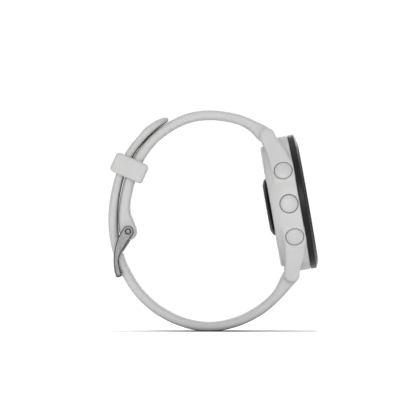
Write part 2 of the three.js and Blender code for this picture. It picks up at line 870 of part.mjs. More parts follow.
function caseAssembly() {
  const group = new THREE.Group();
  group.position.set(CASE_PLACE.x, 0, CASE_PLACE.z);
  group.rotation.y = -CASE_TILT;
  place(group, "case_middle", caseMiddle(), MATERIAL.casePolymer);
  place(group, "bezel", bezel(), MATERIAL.bezelPolymer);
  place(group, "cover_lens", coverLens(), MATERIAL.glass);
  place(group, "lens_gasket", lensGasket(), MATERIAL.blackRubber);
  place(group, "display_panel", displayPanel(), MATERIAL.blackPolymer);
  place(group, "display_frame", displayFrame(), MATERIAL.blackPolymer);
  place(group, "gps_antenna", gpsAntenna(), MATERIAL.gold);
  place(group, "main_board", mainBoard(), MATERIAL.circuitBoard);
  place(group, "processor_chip", processorChip(), MATERIAL.blackPolymer);
  place(group, "radio_shield", radioShield(), MATERIAL.steel);
  place(group, "battery", battery(), MATERIAL.batteryFoil);
  place(group, "motor_can", motorCan(), MATERIAL.steel);
  place(group, "motor_rotor", motorRotor(), MATERIAL.brass);
  place(group, "buzzer", buzzer(), MATERIAL.brass);
  place(group, "rear_cover", rearCover(), MATERIAL.casePolymer);
  place(group, "rear_gasket", rearGasket(), MATERIAL.blackRubber);
  place(group, "sensor_window", sensorWindow(), MATERIAL.blackPolymer);
  place(group, "sensor_board", sensorBoard(), MATERIAL.circuitBoard);
  place(group, "charging_socket", chargingSocket(), MATERIAL.blackPolymer);
  CONTACT_Z.forEach((z, i) =>
    place(group, `charging_contact_${i + 1}`, chargingContact(z), MATERIAL.gold),
  );
  SCREW_DEGREES.forEach((degrees, i) => {
    const screw = place(group, `rear_screw_${i + 1}`, rearScrew(), MATERIAL.steel);
    const [y, z] = screwPlace(degrees);
    screw.position.set(0, y, z);
  });
  for (const button of BUTTONS) group.add(buttonAssembly(button));
  for (const up of [-1, 1]) group.add(springBar(up));
  return group;
}

function buttonAssembly(button) {
  const group = new THREE.Group();
  group.applyMatrix4(buttonPlace(button));
  place(group, `button_${button.name}`, buttonCap(), MATERIAL.casePolymer);
  place(group, `button_${button.name}_seal`, buttonSeal(), MATERIAL.blackRubber);
  place(group, `button_${button.name}_clip`, buttonClip(), MATERIAL.steel);
  place(group, `button_${button.name}_switch`, buttonSwitch(), MATERIAL.blackPolymer);
  return group;
}

function springBar(up) {
  const group = new THREE.Group();
  group.position.set(BAR.x, 0, up * BAR.z);
  group.rotation.y = CASE_TILT;
  const name = up > 0 ? "upper_spring_bar" : "lower_spring_bar";
  place(group, `${name}_tube`, springBarTube(up), MATERIAL.steel);
  place(group, `${name}_tip`, springBarTip(up), MATERIAL.steel);
  place(group, `${name}_spring`, springBarSpring(), MATERIAL.steel);
  return group;
}

function buckleAssembly() {
  const group = new THREE.Group();
  group.position.set(PIN.x, 0, PIN.z);
  place(group, "buckle_frame", buckleFrame(), MATERIAL.steel);
  place(group, "buckle_tongue", buckleTongue(), MATERIAL.steel);
  place(group, "buckle_pin", bucklePin(), MATERIAL.steel);
  return group;
}

const watch = new THREE.Group();
watch.add(caseAssembly());
place(watch, "strap_buckle_side", buckleStrap(), MATERIAL.silicone);
place(watch, "strap_tail_side", tailStrap(), MATERIAL.silicone);
watch.add(buckleAssembly());

const keeperMesh = place(watch, "strap_keeper", keeper(), MATERIAL.silicone);
const keeperAngle = degToRad(KEEPER_ARC.degrees);
keeperMesh.position.set(
  KEEPER_ARC.x + KEEPER_ARC.radius * Math.cos(keeperAngle),
  0,
  KEEPER_ARC.z + KEEPER_ARC.radius * Math.sin(keeperAngle),
);
keeperMesh.rotation.y = -keeperAngle;

export default watch;
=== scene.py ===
"""The looks of a GPS running watch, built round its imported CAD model.

Lengths are in millimetres until a mesh is made, and a mesh is in metres. The side outlines of the straps
and the buckle are read off the CAD nodes, so these pieces lie where the nodes do. The round case has a
frame of its own: x runs from its back to its screen, y to the 3 o'clock side and z to 12 o'clock.
"""

import json
import math

import bmesh
import bpy
import numpy as np
from mathutils import Matrix, Vector


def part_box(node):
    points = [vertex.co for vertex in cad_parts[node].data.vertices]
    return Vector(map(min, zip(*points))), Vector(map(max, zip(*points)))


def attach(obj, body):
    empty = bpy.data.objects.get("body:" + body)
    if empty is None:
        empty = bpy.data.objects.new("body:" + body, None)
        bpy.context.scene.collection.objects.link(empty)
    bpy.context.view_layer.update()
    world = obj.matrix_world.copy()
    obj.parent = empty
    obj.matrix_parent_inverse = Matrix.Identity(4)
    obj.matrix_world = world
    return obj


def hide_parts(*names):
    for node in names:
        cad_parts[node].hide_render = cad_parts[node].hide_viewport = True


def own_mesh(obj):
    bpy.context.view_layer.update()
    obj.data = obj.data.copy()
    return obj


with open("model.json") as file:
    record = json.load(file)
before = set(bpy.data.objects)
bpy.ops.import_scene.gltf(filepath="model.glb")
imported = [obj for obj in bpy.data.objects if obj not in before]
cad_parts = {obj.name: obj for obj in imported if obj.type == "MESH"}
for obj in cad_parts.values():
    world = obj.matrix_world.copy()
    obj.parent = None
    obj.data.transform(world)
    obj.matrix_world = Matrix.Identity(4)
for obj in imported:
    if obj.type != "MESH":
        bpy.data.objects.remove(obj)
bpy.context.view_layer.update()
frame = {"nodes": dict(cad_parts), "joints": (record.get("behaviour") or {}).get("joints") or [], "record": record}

MM = 0.001
NODES = frame["nodes"]
MOUNTS = {mount["name"]: mount for mount in frame["record"]["mounts"]}
JOINTS = {joint["name"]: joint for joint in frame["joints"]}
SLOT_OF_NODE = {s["node"]: s["material_slot"] for s in frame["record"]["subparts"]}

# ---- frames and measures

ROW = Matrix.Scale(MM, 4)
SWAP_XY = Matrix(((0, 1, 0, 0), (1, 0, 0, 0), (0, 0, 1, 0), (0, 0, 0, 1)))


def placed(x_axis, y_axis, origin):
    """The matrix from a frame in millimetres to the row, in metres."""
    x_axis, y_axis = Vector(x_axis), Vector(y_axis)
    z_axis = x_axis.cross(y_axis)
    turn = Matrix((x_axis, y_axis, z_axis)).transposed().to_4x4()
    return Matrix.Translation(origin) @ turn @ ROW


SCREEN_WAY = Vector(MOUNTS["screen_face"]["axis"])
ACROSS = Vector((0, 1, 0))
CASE_BACK = Vector(MOUNTS["charger_face"]["pos_m"]) * Vector((1, 0, 1))
CASE = placed(SCREEN_WAY, ACROSS, CASE_BACK)
PIN = Vector(JOINTS["buckle_swing"]["pos_m"]) / MM
KEEPER_ARC = Vector(JOINTS["keeper_slide"]["pos_m"]) / MM
# A prism's own x, y and z lie along the case's y, x and z.
IN_PLAN = CASE @ SWAP_XY


def corners_in(node, matrix):
    """The lowest and highest corners of a CAD node in a frame in millimetres."""
    back = matrix.inverted()
    points = np.array([back @ v.co for v in NODES[node].data.vertices])
    return points.min(0), points.max(0)


def box_around(node, margin):
    """The lowest and highest corners of a CAD node in the row, with room round it."""
    low, high = (np.array(corner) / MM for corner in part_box(node))
    return low - margin, high + margin


def slices(node, y):
    """The closed outlines of x and z that the plane at y cuts from a CAD node, longest first."""
    bm = bmesh.new()
    bm.from_mesh(NODES[node].data)
    bmesh.ops.remove_doubles(bm, verts=bm.verts, dist=1e-7)
    everything = bm.verts[:] + bm.edges[:] + bm.faces[:]
    plane = {"plane_co": (0, y * MM, 0), "plane_no": (0, 1, 0)}
    made = bmesh.ops.bisect_plane(bm, geom=everything, dist=1e-8, **plane)["geom_cut"]
    edges = dict.fromkeys(e for e in made if isinstance(e, bmesh.types.BMEdge))
    loops = []
    while edges:
        edge = next(iter(edges))
        del edges[edge]
        start, here = edge.verts
        loop = [start, here]
        while here is not start:
            edge = next((e for e in here.link_edges if e in edges), None)
            if edge is None:
                break
            del edges[edge]
            here = edge.other_vert(here)
            loop.append(here)
        loops.append(np.array([(v.co.x / MM, v.co.z / MM) for v in loop[:-1]]))
    bm.free()
    loops.sort(key=perimeter, reverse=True)
    return loops


def perimeter(loop):
    return float(np.linalg.norm(np.roll(loop, -1, 0) - loop, axis=1).sum())


def area(loop):
    after = np.roll(loop, -1, 0)
    return float((loop[:, 0] * after[:, 1] - loop[:, 1] * after[:, 0]).sum() / 2)


SHORTEST_STEP = 0.04
STRAIGHT = 0.002


def tidied(loop):
    """A loop without points that lie on a straight stretch or on each other, turning anticlockwise."""
    if area(loop) < 0:
        loop = loop[::-1]
    kept = []
    for i, point in enumerate(loop):
        into = point - (kept[-1] if kept else loop[i - 1])
        out = loop[(i + 1) % len(loop)] - point
        length = np.linalg.norm(into) * np.linalg.norm(out)
        if np.linalg.norm(into) < SHORTEST_STEP:
            continue
        if length > 0 and abs(into[0] * out[1] - into[1] * out[0]) < STRAIGHT * length:
            continue
        kept.append(point)
    return np.array(kept)


def smooth_outline(loop, step=0.35, corner_degrees=38, rounds=6):
    """Evenly spaced points on a smooth curve through a loop's points, with its corners eased."""
    loop = tidied(loop)
    after, before = np.roll(loop, -1, 0) - loop, loop - np.roll(loop, 1, 0)
    long_after = np.linalg.norm(after, axis=1)[:, None]
    long_before = np.linalg.norm(before, axis=1)[:, None]
    turning = np.abs(
        np.arctan2(
            before[:, 0] * after[:, 1] - before[:, 1] * after[:, 0],
            (before * after).sum(1),
        )
    )
    tangent = before / long_before**2 + after / long_after**2
    tangent /= np.linalg.norm(tangent, axis=1)[:, None]
    sharp = turning > math.radians(corner_degrees)
    points = []
    for i in range(len(loop)):
        j = (i + 1) % len(loop)
        length = long_after[i, 0]
        way = after[i] / length
        start, end = tangent[i], tangent[j]
        if sharp[i] and sharp[j]:
            start = end = way
        elif sharp[i]:
            start = 2 * (way @ end) * way - end
        elif sharp[j]:
            end = 2 * (way @ start) * way - start
        count = max(1, round(length / step * 2))
        t = (np.arange(count) / count)[:, None]
        points.append(
            (2 * t**3 - 3 * t**2 + 1) * loop[i]
            + (t**3 - 2 * t**2 + t) * length * start
            + (3 * t**2 - 2 * t**3) * loop[j]
            + (t**3 - t**2) * length * end
        )
    return eased(evenly(np.concatenate(points), step), rounds)


def evenly(loop, step):
    """A loop of points that are all about one step apart."""
    closed = np.vstack([loop, loop[:1]])
    run = np.concatenate([[0], np.cumsum(np.linalg.norm(np.diff(closed, axis=0), axis=1))])
    at = np.linspace(0, run[-1], max(12, round(run[-1] / step)), endpoint=False)
    return np.column_stack([np.interp(at, run, closed[:, k]) for k in (0, 1)])


def eased(loop, rounds):
    """A loop whose points have moved towards their neighbours, which rounds its corners."""
    for _ in range(rounds):
        loop = (np.roll(loop, 1, 0) + 2 * loop + np.roll(loop, -1, 0)) / 4
    return loop


def inset(loop, distance):
    """An anticlockwise loop moved inwards, or outwards by a negative distance."""
    along = np.roll(loop, -1, 0) - np.roll(loop, 1, 0)
    along /= np.linalg.norm(along, axis=1)[:, None]
    return loop + distance * np.column_stack([-along[:, 1], along[:, 0]])


def rounded_corners(corners, steps=5):
    """A closed outline through corners [u, v, radius], each rounded to its radius."""
    points = []
    count = len(corners)
    for i, (u, v, radius) in enumerate(corners):
        here = np.array((u, v), float)
        if radius <= 0:
            points.append(here)
            continue
        to = [np.array(corners[(i + d) % count][:2], float) - here for d in (-1, 1)]
        to = [way / np.linalg.norm(way) for way in to]
        half = math.acos(max(-1, min(1, to[0] @ to[1]))) / 2
        middle = here + (to[0] + to[1]) / np.linalg.norm(to[0] + to[1]) * radius / math.sin(half)
        first, last = (here + way * radius / math.tan(half) - middle for way in to)
        sweep = math.atan2(first[0] * last[1] - first[1] * last[0], first @ last)
        for k in range(steps + 1):
            c, s = math.cos(sweep * k / steps), math.sin(sweep * k / steps)
            points.append(middle + (c * first[0] - s * first[1], s * first[0] + c * first[1]))
    return np.array(points)


def rounded_box(width, height, radius, steps=5):
    """A rectangle's outline about its middle, with rounded corners."""
    w, h = width / 2, height / 2
    corners = [(w, -h, radius), (w, h, radius), (-w, h, radius), (-w, -h, radius)]
    return rounded_corners(corners, steps)


# ---- meshes


def put_in_scene(name, data):
    """A new object of a mesh, a text, a lamp or a camera."""
    thing = bpy.data.objects.new(name, data)
    bpy.context.scene.collection.objects.link(thing)
    return thing


def piece_from(name, points, faces, matrix=ROW):
    """A closed mesh object, with its normals facing out."""
    mesh = bpy.data.meshes.new(name)
    mesh.from_pydata([matrix @ Vector(p) for p in points], [], faces)
    bm = bmesh.new()
    bm.from_mesh(mesh)
    bmesh.ops.remove_doubles(bm, verts=bm.verts, dist=1e-7)
    bmesh.ops.recalc_face_normals(bm, faces=bm.faces)
    bm.to_mesh(mesh)
    bm.free()
    return put_in_scene(name, mesh)


def grid_faces(rings, count, close_rings):
    """The quads between rings of count points each, one ring after the other."""
    faces = []
    for i in range(rings if close_rings else rings - 1):
        j = (i + 1) % rings
        for k in range(count):
            n = (k + 1) % count
            faces.append((i * count + k, i * count + n, j * count + n, j * count + k))
    return faces


def turned(name, outline, matrix, segments=160):
    """A closed outline of radius and height, turned about the frame's x axis."""
    points = []
    for i in range(segments):
        angle = 2 * math.pi * i / segments
        c, s = math.cos(angle), math.sin(angle)
        points += [(height, radius * c, radius * s) for radius, height in outline]
    return piece_from(name, points, grid_faces(segments, len(outline), True), matrix)


def prism(name, outline, low, high, rim=0.0, steps=4, matrix=ROW):
    """A side outline of x and z pushed along y from low to high, with both rims rounded."""
    levels = []
    for k in range(steps + 1 if rim else 1):
        angle = math.pi / 2 * k / steps
        levels.append((rim * (1 - math.sin(angle)), rim * (1 - math.cos(angle))))
    levels = [(d, low + h) for d, h in levels] + [(d, high - h) for d, h in reversed(levels)]
    points = []
    for distance, y in levels:
        ring = inset(outline, distance) if distance else outline
        points += [(x, y, z) for x, z in ring]
    count = len(outline)
    faces = grid_faces(len(levels), count, False)
    faces.append(tuple(range(count)))
    faces.append(tuple(range((len(levels) - 1) * count, len(levels) * count)))
    return piece_from(name, points, faces, matrix)


def apply_modifiers(piece):
    """The piece with its modifiers made part of its mesh."""
    graph = bpy.context.evaluated_depsgraph_get()
    mesh = bpy.data.meshes.new_from_object(piece.evaluated_get(graph))
    piece.modifiers.clear()
    piece.data = mesh
    return piece


def joined(pieces):
    """Several meshes as one object, which keeps the first one's name."""
    bm = bmesh.new()
    for piece in pieces:
        bm.from_mesh(piece.data)
    bm.to_mesh(pieces[0].data)
    bm.free()
    for piece in pieces[1:]:
        bpy.data.objects.remove(piece)
    return pieces[0]


def carve(piece, tools):
    """Cuts tools that don't touch each other from a piece."""
    tool = joined(tools)
    modifier = piece.modifiers.new("carve", "BOOLEAN")
    modifier.solver = "EXACT"
    modifier.operation = "DIFFERENCE"
    modifier.object = tool
    apply_modifiers(piece)
    bpy.data.objects.remove(tool)
    return piece


def soften(piece, width, segments, degrees=42):
    """Rounds the edges that a cut left."""
    modifier = piece.modifiers.new("soften", "BEVEL")
    modifier.width = width * MM
    modifier.segments = segments
    modifier.limit_method = "ANGLE"
    modifier.angle_limit = math.radians(degrees)
    modifier.use_clamp_overlap = False
    return apply_modifiers(piece)


def shaded(piece, degrees=35):
    """Smooth shading with flat faces kept flat."""
    piece.data.shade_smooth()
    piece.data.set_sharp_from_angle(angle=math.radians(degrees))
    modifier = piece.modifiers.new("normals", "WEIGHTED_NORMAL")
    modifier.keep_sharp = True
    return apply_modifiers(piece)


def done(piece, body, slot, material, *replaced):
    """Gives a piece its material and its body, and hides the CAD nodes that it stands for."""
    piece.data.materials.clear()
    piece.data.materials.append(material)
    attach(piece, body)
    if replaced:
        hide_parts(*replaced)
    return piece


# ---- materials


class Nodes:
    """The node tree of a material or of the surroundings, built by short calls."""

    def __init__(self, owner):
        owner.use_nodes = True
        self.tree = owner.node_tree

    def add(self, kind, **inputs):
        """A new node, with a value or a link for each input that is named."""
        node = self.tree.nodes.new(kind)
        for name, value in inputs.items():
            self.put(node.inputs[name.replace("_", " ")], value)
        return node

    def put(self, socket, value):
        if isinstance(value, bpy.types.NodeSocket):
            self.tree.links.new(value, socket)
        else:
            socket.default_value = value

    def ranged(self, value, low, high, from_low=0.3, from_high=0.7):
        """A value carried from one range to another. Most noise lies between 0.3 and 0.7."""
        node = self.tree.nodes.new("ShaderNodeMapRange")
        self.put(node.inputs["Value"], value)
        node.inputs["From Min"].default_value = from_low
        node.inputs["From Max"].default_value = from_high
        node.inputs["To Min"].default_value = low
        node.inputs["To Max"].default_value = high
        return node.outputs["Result"]

    def colours(self, value, first, second):
        """A colour between two, by a value from 0 to 1."""
        node = self.tree.nodes.new("ShaderNodeMix")
        node.data_type = "RGBA"
        self.put(node.inputs["Factor"], value)
        node.inputs["A"].default_value = (*first, 1)
        node.inputs["B"].default_value = (*second, 1)
        return next(o for o in node.outputs if o.type == "RGBA")

    def bump(self, height, depth):
        """A bump whose full height is that many millimetres."""
        node = self.add("ShaderNodeBump", Height=height, Distance=depth * MM, Strength=1.0)
        return node.outputs["Normal"]

    def calculated(self, operation, *values):
        node = self.tree.nodes.new("ShaderNodeMath")
        node.operation = operation
        for socket, value in zip(node.inputs, values):
            self.put(socket, value)
        return node.outputs["Value"]


class MaterialNodes(Nodes):
    """A material's nodes, which lie on the piece by its own coordinates."""

    def __init__(self, name):
        self.material = bpy.data.materials.new(name)
        super().__init__(self.material)
        self.shader = self.tree.nodes["Principled BSDF"]
        self.place = self.add("ShaderNodeTexCoord").outputs["Object"]

    def noise(self, size, detail=2.0, stretch=None):
        """Noise with lumps of about that size in millimetres."""
        place = self.place
        if stretch:
            mapping = self.add("ShaderNodeMapping", Vector=place)
            mapping.inputs["Scale"].default_value = stretch
            place = mapping.outputs["Vector"]
        node = self.add("ShaderNodeTexNoise", Vector=place, Scale=1 / (size * MM), Detail=detail)
        return node.outputs["Fac"]

    def set(self, **values):
        """Sets the shader's inputs and gives the finished material."""
        for name, value in values.items():
            self.put(self.shader.inputs[name.replace("_", " ")], value)
        return self.material


def tinted(colour, share):
    """A colour made that much lighter or darker."""
    return tuple(min(1.0, c * share) for c in colour)


def moulded(name, colour, roughness, grain, depth, variation, **values):
    """Moulded polymer or rubber: a fine grain, with faint changes of tone and shine."""
    nodes = MaterialNodes(name)
    tone = nodes.ranged(nodes.noise(4.0, 3.0), 0, 1)
    colour_out = nodes.colours(tone, tinted(colour, 1 - variation), tinted(colour, 1 + variation))
    shine = nodes.ranged(nodes.noise(1.6, 4.0), roughness - 0.05, roughness + 0.05)
    normal = nodes.bump(nodes.noise(grain, 3.0), depth)
    return nodes.set(Base_Color=colour_out, Roughness=shine, Normal=normal, **values)


def metal(name, colour, roughness, stretch=(1, 14, 1), depth=0.004, variation=0.08):
    """Metal with fine brush marks, drawn out along the axes that stretch keeps small."""
    nodes = MaterialNodes(name)
    marks = nodes.noise(0.35, 4.0, stretch)
    colour_out = nodes.colours(
        nodes.ranged(marks, 0, 1), tinted(colour, 1 - variation), tinted(colour, 1 + variation)
    )
    wear = nodes.ranged(nodes.noise(1.2, 4.0), roughness - 0.06, roughness + 0.08)
    return nodes.set(
        Base_Color=colour_out,
        Roughness=wear,
        Metallic=1.0,
        Normal=nodes.bump(marks, depth),
    )


def split_by_ray(tree, rays, usual, special, output):
    """Sends the special shader to one sort of ray, and the usual one to all others."""
    path = tree.nodes.new("ShaderNodeLightPath")
    mix = tree.nodes.new("ShaderNodeMixShader")
    tree.links.new(path.outputs[rays], mix.inputs["Fac"])
    tree.links.new(usual.outputs[0], mix.inputs[1])
    tree.links.new(special.outputs[0], mix.inputs[2])
    tree.links.new(mix.outputs["Shader"], output)


def lens_glass():
    """Clear, faintly smeared glass that lets lamps shine through it onto the display."""
    nodes = MaterialNodes("lens_glass")
    smears = nodes.ranged(nodes.noise(6.0, 3.0), 0.0, 0.008)
    nodes.set(Roughness=smears, Base_Color=(0.97, 0.98, 0.98, 1), Transmission_Weight=1.0, IOR=1.5)
    clear = nodes.add("ShaderNodeBsdfTransparent")
    surface = nodes.tree.nodes["Material Output"].inputs["Surface"]
    split_by_ray(nodes.tree, "Is Shadow Ray", nodes.shader, clear, surface)
    return nodes.material


def circuit_board(name):
    """Solder mask with copper tracks under it and bright pads."""
    nodes = MaterialNodes(name)
    tracks = nodes.add("ShaderNodeTexBrick", Vector=nodes.place, Scale=260.0)
    tracks.inputs["Color1"].default_value = (0.010, 0.075, 0.040, 1)
    tracks.inputs["Color2"].default_value = (0.014, 0.100, 0.055, 1)
    tracks.inputs["Mortar"].default_value = (0.060, 0.180, 0.075, 1)
    tracks.inputs["Mortar Size"].default_value = 0.03
    normal = nodes.bump(tracks.outputs["Fac"], 0.02)
    shine = nodes.ranged(nodes.noise(0.8), 0.3, 0.45)
    return nodes.set(Base_Color=tracks.outputs["Color"], Roughness=shine, Normal=normal)


def screen_material(name, colour, strength):
    """Lit parts of the display, whose light falls off a little from dot to dot."""
    nodes = MaterialNodes(name)
    dots = nodes.ranged(nodes.noise(0.2, 2.0), 0, 1)
    tone = nodes.colours(dots, tinted(colour, 0.9), tinted(colour, 1.0))
    return nodes.set(
        Base_Color=tone,
        Roughness=0.4,
        Emission_Color=tone,
        Emission_Strength=strength,
    )


LIGHT_GREY = (0.66, 0.66, 0.655)
SILICONE_GREY = (0.64, 0.64, 0.635)
BLACK = (0.012, 0.012, 0.013)
DEEP_BLACK = (0.004, 0.004, 0.005)

CASE_POLYMER = moulded("case_polymer", LIGHT_GREY, 0.42, 0.10, 0.0008, 0.015)
REAR_POLYMER = moulded("rear_polymer", (0.58, 0.58, 0.57), 0.46, 0.12, 0.001, 0.015)
SILICONE = moulded("silicone", SILICONE_GREY, 0.55, 0.12, 0.0008, 0.015)
BEZEL_BLACK = moulded("bezel_black", BLACK, 0.32, 0.12, 0.0008, 0.1, Specular_IOR_Level=0.22)
GLOSS_BLACK = moulded("gloss_black", DEEP_BLACK, 0.14, 0.5, 0.0003, 0.1, Specular_IOR_Level=0.18)
SENSOR_BLACK = moulded("sensor_black", DEEP_BLACK, 0.3, 0.5, 0.0003, 0.1, Specular_IOR_Level=0.1)
SENSOR_TINT = moulded("sensor_tint", (0.012, 0.022, 0.016), 0.16, 0.5, 0.0005, 0.2)
DISPLAY_BLACK = moulded("display_black", (0.010, 0.011, 0.013), 0.3, 0.4, 0.00003, 0.15)
DIAL_WHITE = screen_material("dial_white", (0.82, 0.84, 0.86), 0.25)
DIAL_ACCENT = screen_material("dial_accent", (0.85, 0.25, 0.05), 0.2)
MATT_BLACK = moulded("matt_black", BLACK, 0.55, 0.15, 0.006, 0.1)
BLACK_RUBBER = moulded("black_rubber", (0.015, 0.015, 0.015), 0.75, 0.12, 0.01, 0.1)
BUCKLE_STEEL = metal("buckle_steel", (0.150, 0.149, 0.151), 0.27, (10, 1, 10), 0.0005, 0.05)
PLAIN_STEEL = metal("plain_steel", (0.50, 0.50, 0.51), 0.28)
GOLD_PLATE = metal("gold_plate", (0.80, 0.56, 0.22), 0.22, (6, 6, 6), 0.002)
SHEET_BRASS = metal("sheet_brass", (0.60, 0.46, 0.22), 0.35, (6, 6, 6), 0.003)
FOIL = metal("battery_foil", (0.50, 0.51, 0.53), 0.42, (3, 3, 3), 0.02)
BOARD = circuit_board("circuit_board")
LENS = lens_glass()

NODE_MATERIAL = {
    "seal": BLACK_RUBBER,
    "steel": PLAIN_STEEL,
    "black_plastic": MATT_BLACK,
    "board": BOARD,
    "contacts": GOLD_PLATE,
    "battery": FOIL,
    "brass": SHEET_BRASS,
    "display": GLOSS_BLACK,
    "case": CASE_POLYMER,
    "buttons": CASE_POLYMER,
    "rear_cover": REAR_POLYMER,
    "bezel": BEZEL_BLACK,
    "lens": LENS,
    "sensor_window": GLOSS_BLACK,
    "strap": SILICONE,
    "buckle_steel": BUCKLE_STEEL,
}


def finish_cad_nodes():
    """Every CAD node gets its slot's material, whether a piece stands for it or not."""
    for name, node in NODES.items():
        node.data.materials.clear()
        node.data.materials.append(NODE_MATERIAL[SLOT_OF_NODE[name]])


# ---- solids as distance fields
# A field gives each point's distance from a surface, in millimetres, and is negative inside it.


def rounded_and(first, second, radius):
    """What lies in both fields, with the edge between them rounded."""
    u, v = first + radius, second + radius
    return np.minimum(np.maximum(u, v), 0) + np.hypot(np.maximum(u, 0), np.maximum(v, 0)) - radius


def rounded_or(first, second, radius):
    """What lies in either field, with the corner between them filled."""
    return -rounded_and(-first, -second, radius)


def cut_from(body, hole, radius):
    """A body without what lies in the hole, with the hole's edge rounded."""
    return rounded_and(body, -hole, radius)


def box_field(u, v, half_u, half_v, radius):
    """A rectangle about the middle, with rounded corners."""
    u, v = np.abs(u) - half_u + radius, np.abs(v) - half_v + radius
    return np.minimum(np.maximum(u, v), 0) + np.hypot(np.maximum(u, 0), np.maximum(v, 0)) - radius


def outline_field(loop, u, v):
    """The signed distance of points from a closed outline."""
    u, v = np.broadcast_arrays(u, v)
    nearest = np.full(u.shape, 1e9)
    inside = np.zeros(u.shape, bool)
    for (u0, v0), (u1, v1) in zip(loop, np.roll(loop, -1, 0)):
        du, dv = u1 - u0, v1 - v0
        along = np.clip(((u - u0) * du + (v - v0) * dv) / (du * du + dv * dv + 1e-12), 0, 1)
        nearest = np.minimum(nearest, (u - u0 - along * du) ** 2 + (v - v0 - along * dv) ** 2)
        if dv:
            crosses = ((v0 > v) != (v1 > v)) & (u < u0 + (v - v0) * du / dv)
            inside ^= crosses
    return np.where(inside, -1, 1) * np.sqrt(nearest)


class SideField:
    """The field of a side outline, worked out once on a fine grid and looked up between its points."""

    def __init__(self, loop, step=0.15, margin=2.0):
        self.low = loop.min(0) - margin
        self.step = step
        self.count = np.ceil((loop.max(0) + margin - self.low) / step).astype(int) + 1
        u = self.low[0] + step * np.arange(self.count[0])
        v = self.low[1] + step * np.arange(self.count[1])
        self.values = outline_field(loop, u[:, None], v[None, :])

    def __call__(self, x, z):
        u = np.clip((x - self.low[0]) / self.step, 0, self.count[0] - 1.001)
        v = np.clip((z - self.low[1]) / self.step, 0, self.count[1] - 1.001)
        i, j = u.astype(int), v.astype(int)
        u, v = u - i, v - j
        near = self.values[i, j] * (1 - u) + self.values[i + 1, j] * u
        far = self.values[i, j + 1] * (1 - u) + self.values[i + 1, j + 1] * u
        return near * (1 - v) + far * v


NUDGE = 0.04  # how far to each side of a point a field's slope is measured
LEAST_SLOPE = 0.3


def settled(points, field, reach, rounds=4):
    """Points moved onto a field's surface, none of them farther than reach in a round."""
    points = points.copy()
    for _ in range(rounds):
        value = field(*points.T)
        slope = np.empty_like(points)
        for k in range(3):
            nudge = np.zeros(3)
            nudge[k] = NUDGE
            slope[:, k] = (field(*(points + nudge).T) - field(*(points - nudge).T)) / (2 * NUDGE)
        share = value / np.maximum((slope**2).sum(1), LEAST_SLOPE)
        move = np.clip(share, -reach, reach)[:, None] * slope
        points -= move
    return points


def grown(name, field, low, high, step, matrix=ROW):
    """The surface of a field inside a box, as an even mesh of quads with its points on the surface."""
    axes = [np.arange(a, b + step, step) for a, b in zip(low, high)]
    shape = np.array([len(axis) for axis in axes])
    values = np.broadcast_to(field(*np.meshgrid(*axes, indexing="ij", sparse=True)), shape)
    cells = shape - 1
    total = np.zeros((cells.prod(), 3))
    count = np.zeros(cells.prod())
    quads = []
    for k in range(3):
        others = [(k + 1) % 3, (k + 2) % 3]
        near, far = (np.take(values, range(s, shape[k] - 1 + s), axis=k) for s in (0, 1))
        where = np.argwhere((near < 0) != (far < 0))
        a, b = near[tuple(where.T)], far[tuple(where.T)]
        crossing = np.array(low) + where * step
        crossing[:, k] += step * a / (a - b)
        corners = []
        for du, dv in ((-1, -1), (0, -1), (0, 0), (-1, 0)):
            cell = where.copy()
            cell[:, others[0]] += du
            cell[:, others[1]] += dv
            flat = (cell[:, 0] * cells[1] + cell[:, 1]) * cells[2] + cell[:, 2]
            for axis in range(3):
                total[:, axis] += np.bincount(flat, crossing[:, axis], len(count))
            count += np.bincount(flat, minlength=len(count))
            corners.append(flat)
        quad = np.column_stack(corners)
        quads.append(np.where((a < 0)[:, None], quad, quad[:, ::-1]))
    quads = np.vstack(quads)
    used, quads = np.unique(quads, return_inverse=True)
    points = settled(total[used] / count[used, None], field, step / 3)
    points = np.column_stack([points, np.ones(len(points))]) @ np.array(matrix).T
    mesh = bpy.data.meshes.new(name)
    mesh.from_pydata(points[:, :3].tolist(), [], quads.reshape(-1, 4).tolist())
    mesh.shade_smooth()
    mesh.update()
    return put_in_scene(name, mesh)


# ---- the case

CASE_RADIUS = 21.0
CASE_TOP = 8.9
CASE_RIM = 18.5
WALL_FOOT = (20.75, 2.0)
CAVITY = {"radius": 17.8, "floor": 2.4}
LEDGE = {"radius": 15.6, "height": 1.75}
COVER_SEAT = 17.7
BAR = (2.7, 21.8)
LUG_RADIUS = 2.4
LUG_TIP = (13.0, 24.0)
LUG_INNER = 10.05
POCKET_DEPTH = 18.85
LUG_BORE = {"radius": 0.65, "end": 11.7}
LUG_FOOT = 6.0
BUTTON_HEIGHT = 5.6
BUTTON_DEGREES = 29.5
CAP_RADIUS = 2.7
CAP_SHOULDER = 21.0
CAP_DOME = 1.05
DOME_STEPS = 14
RECESS = {"radius": 2.88, "floor": 19.5}
SEAL_BORE = {"radius": 1.75, "floor": 18.5}
STEM_BORE = {"radius": 1.03, "floor": 16.8}
SCREW_CIRCLE = 14.8
SCREW_DEGREES = (50, 130, 230, 310)
SCREW_BOSS = {"radius": 1.6, "hole": 0.8, "middle": 3.6, "half": 2.4}
HEXAGON_DEPTH = 0.42
SOCKET = {"y": 13.2, "width": 3.4, "length": 7.2, "recess": 1.15}
CONTACT_Z = (-2.4, -0.8, 0.8, 2.4)


def bezier(points, steps):
    """Points on a Bezier curve of any degree, first and last included."""
    points = np.array(points, float)
    found = []
    for i in range(steps + 1):
        t = i / steps
        level = points
        while len(level) > 1:
            level = level[:-1] * (1 - t) + level[1:] * t
        found.append(level[0])
    return found


def arc(centre, radius, start, end, steps):
    """Points on an arc from one angle to another, in degrees."""
    angles = np.radians(np.linspace(start, end, steps + 1))
    return [np.array(centre) + radius * np.array((math.cos(a), math.sin(a))) for a in angles]


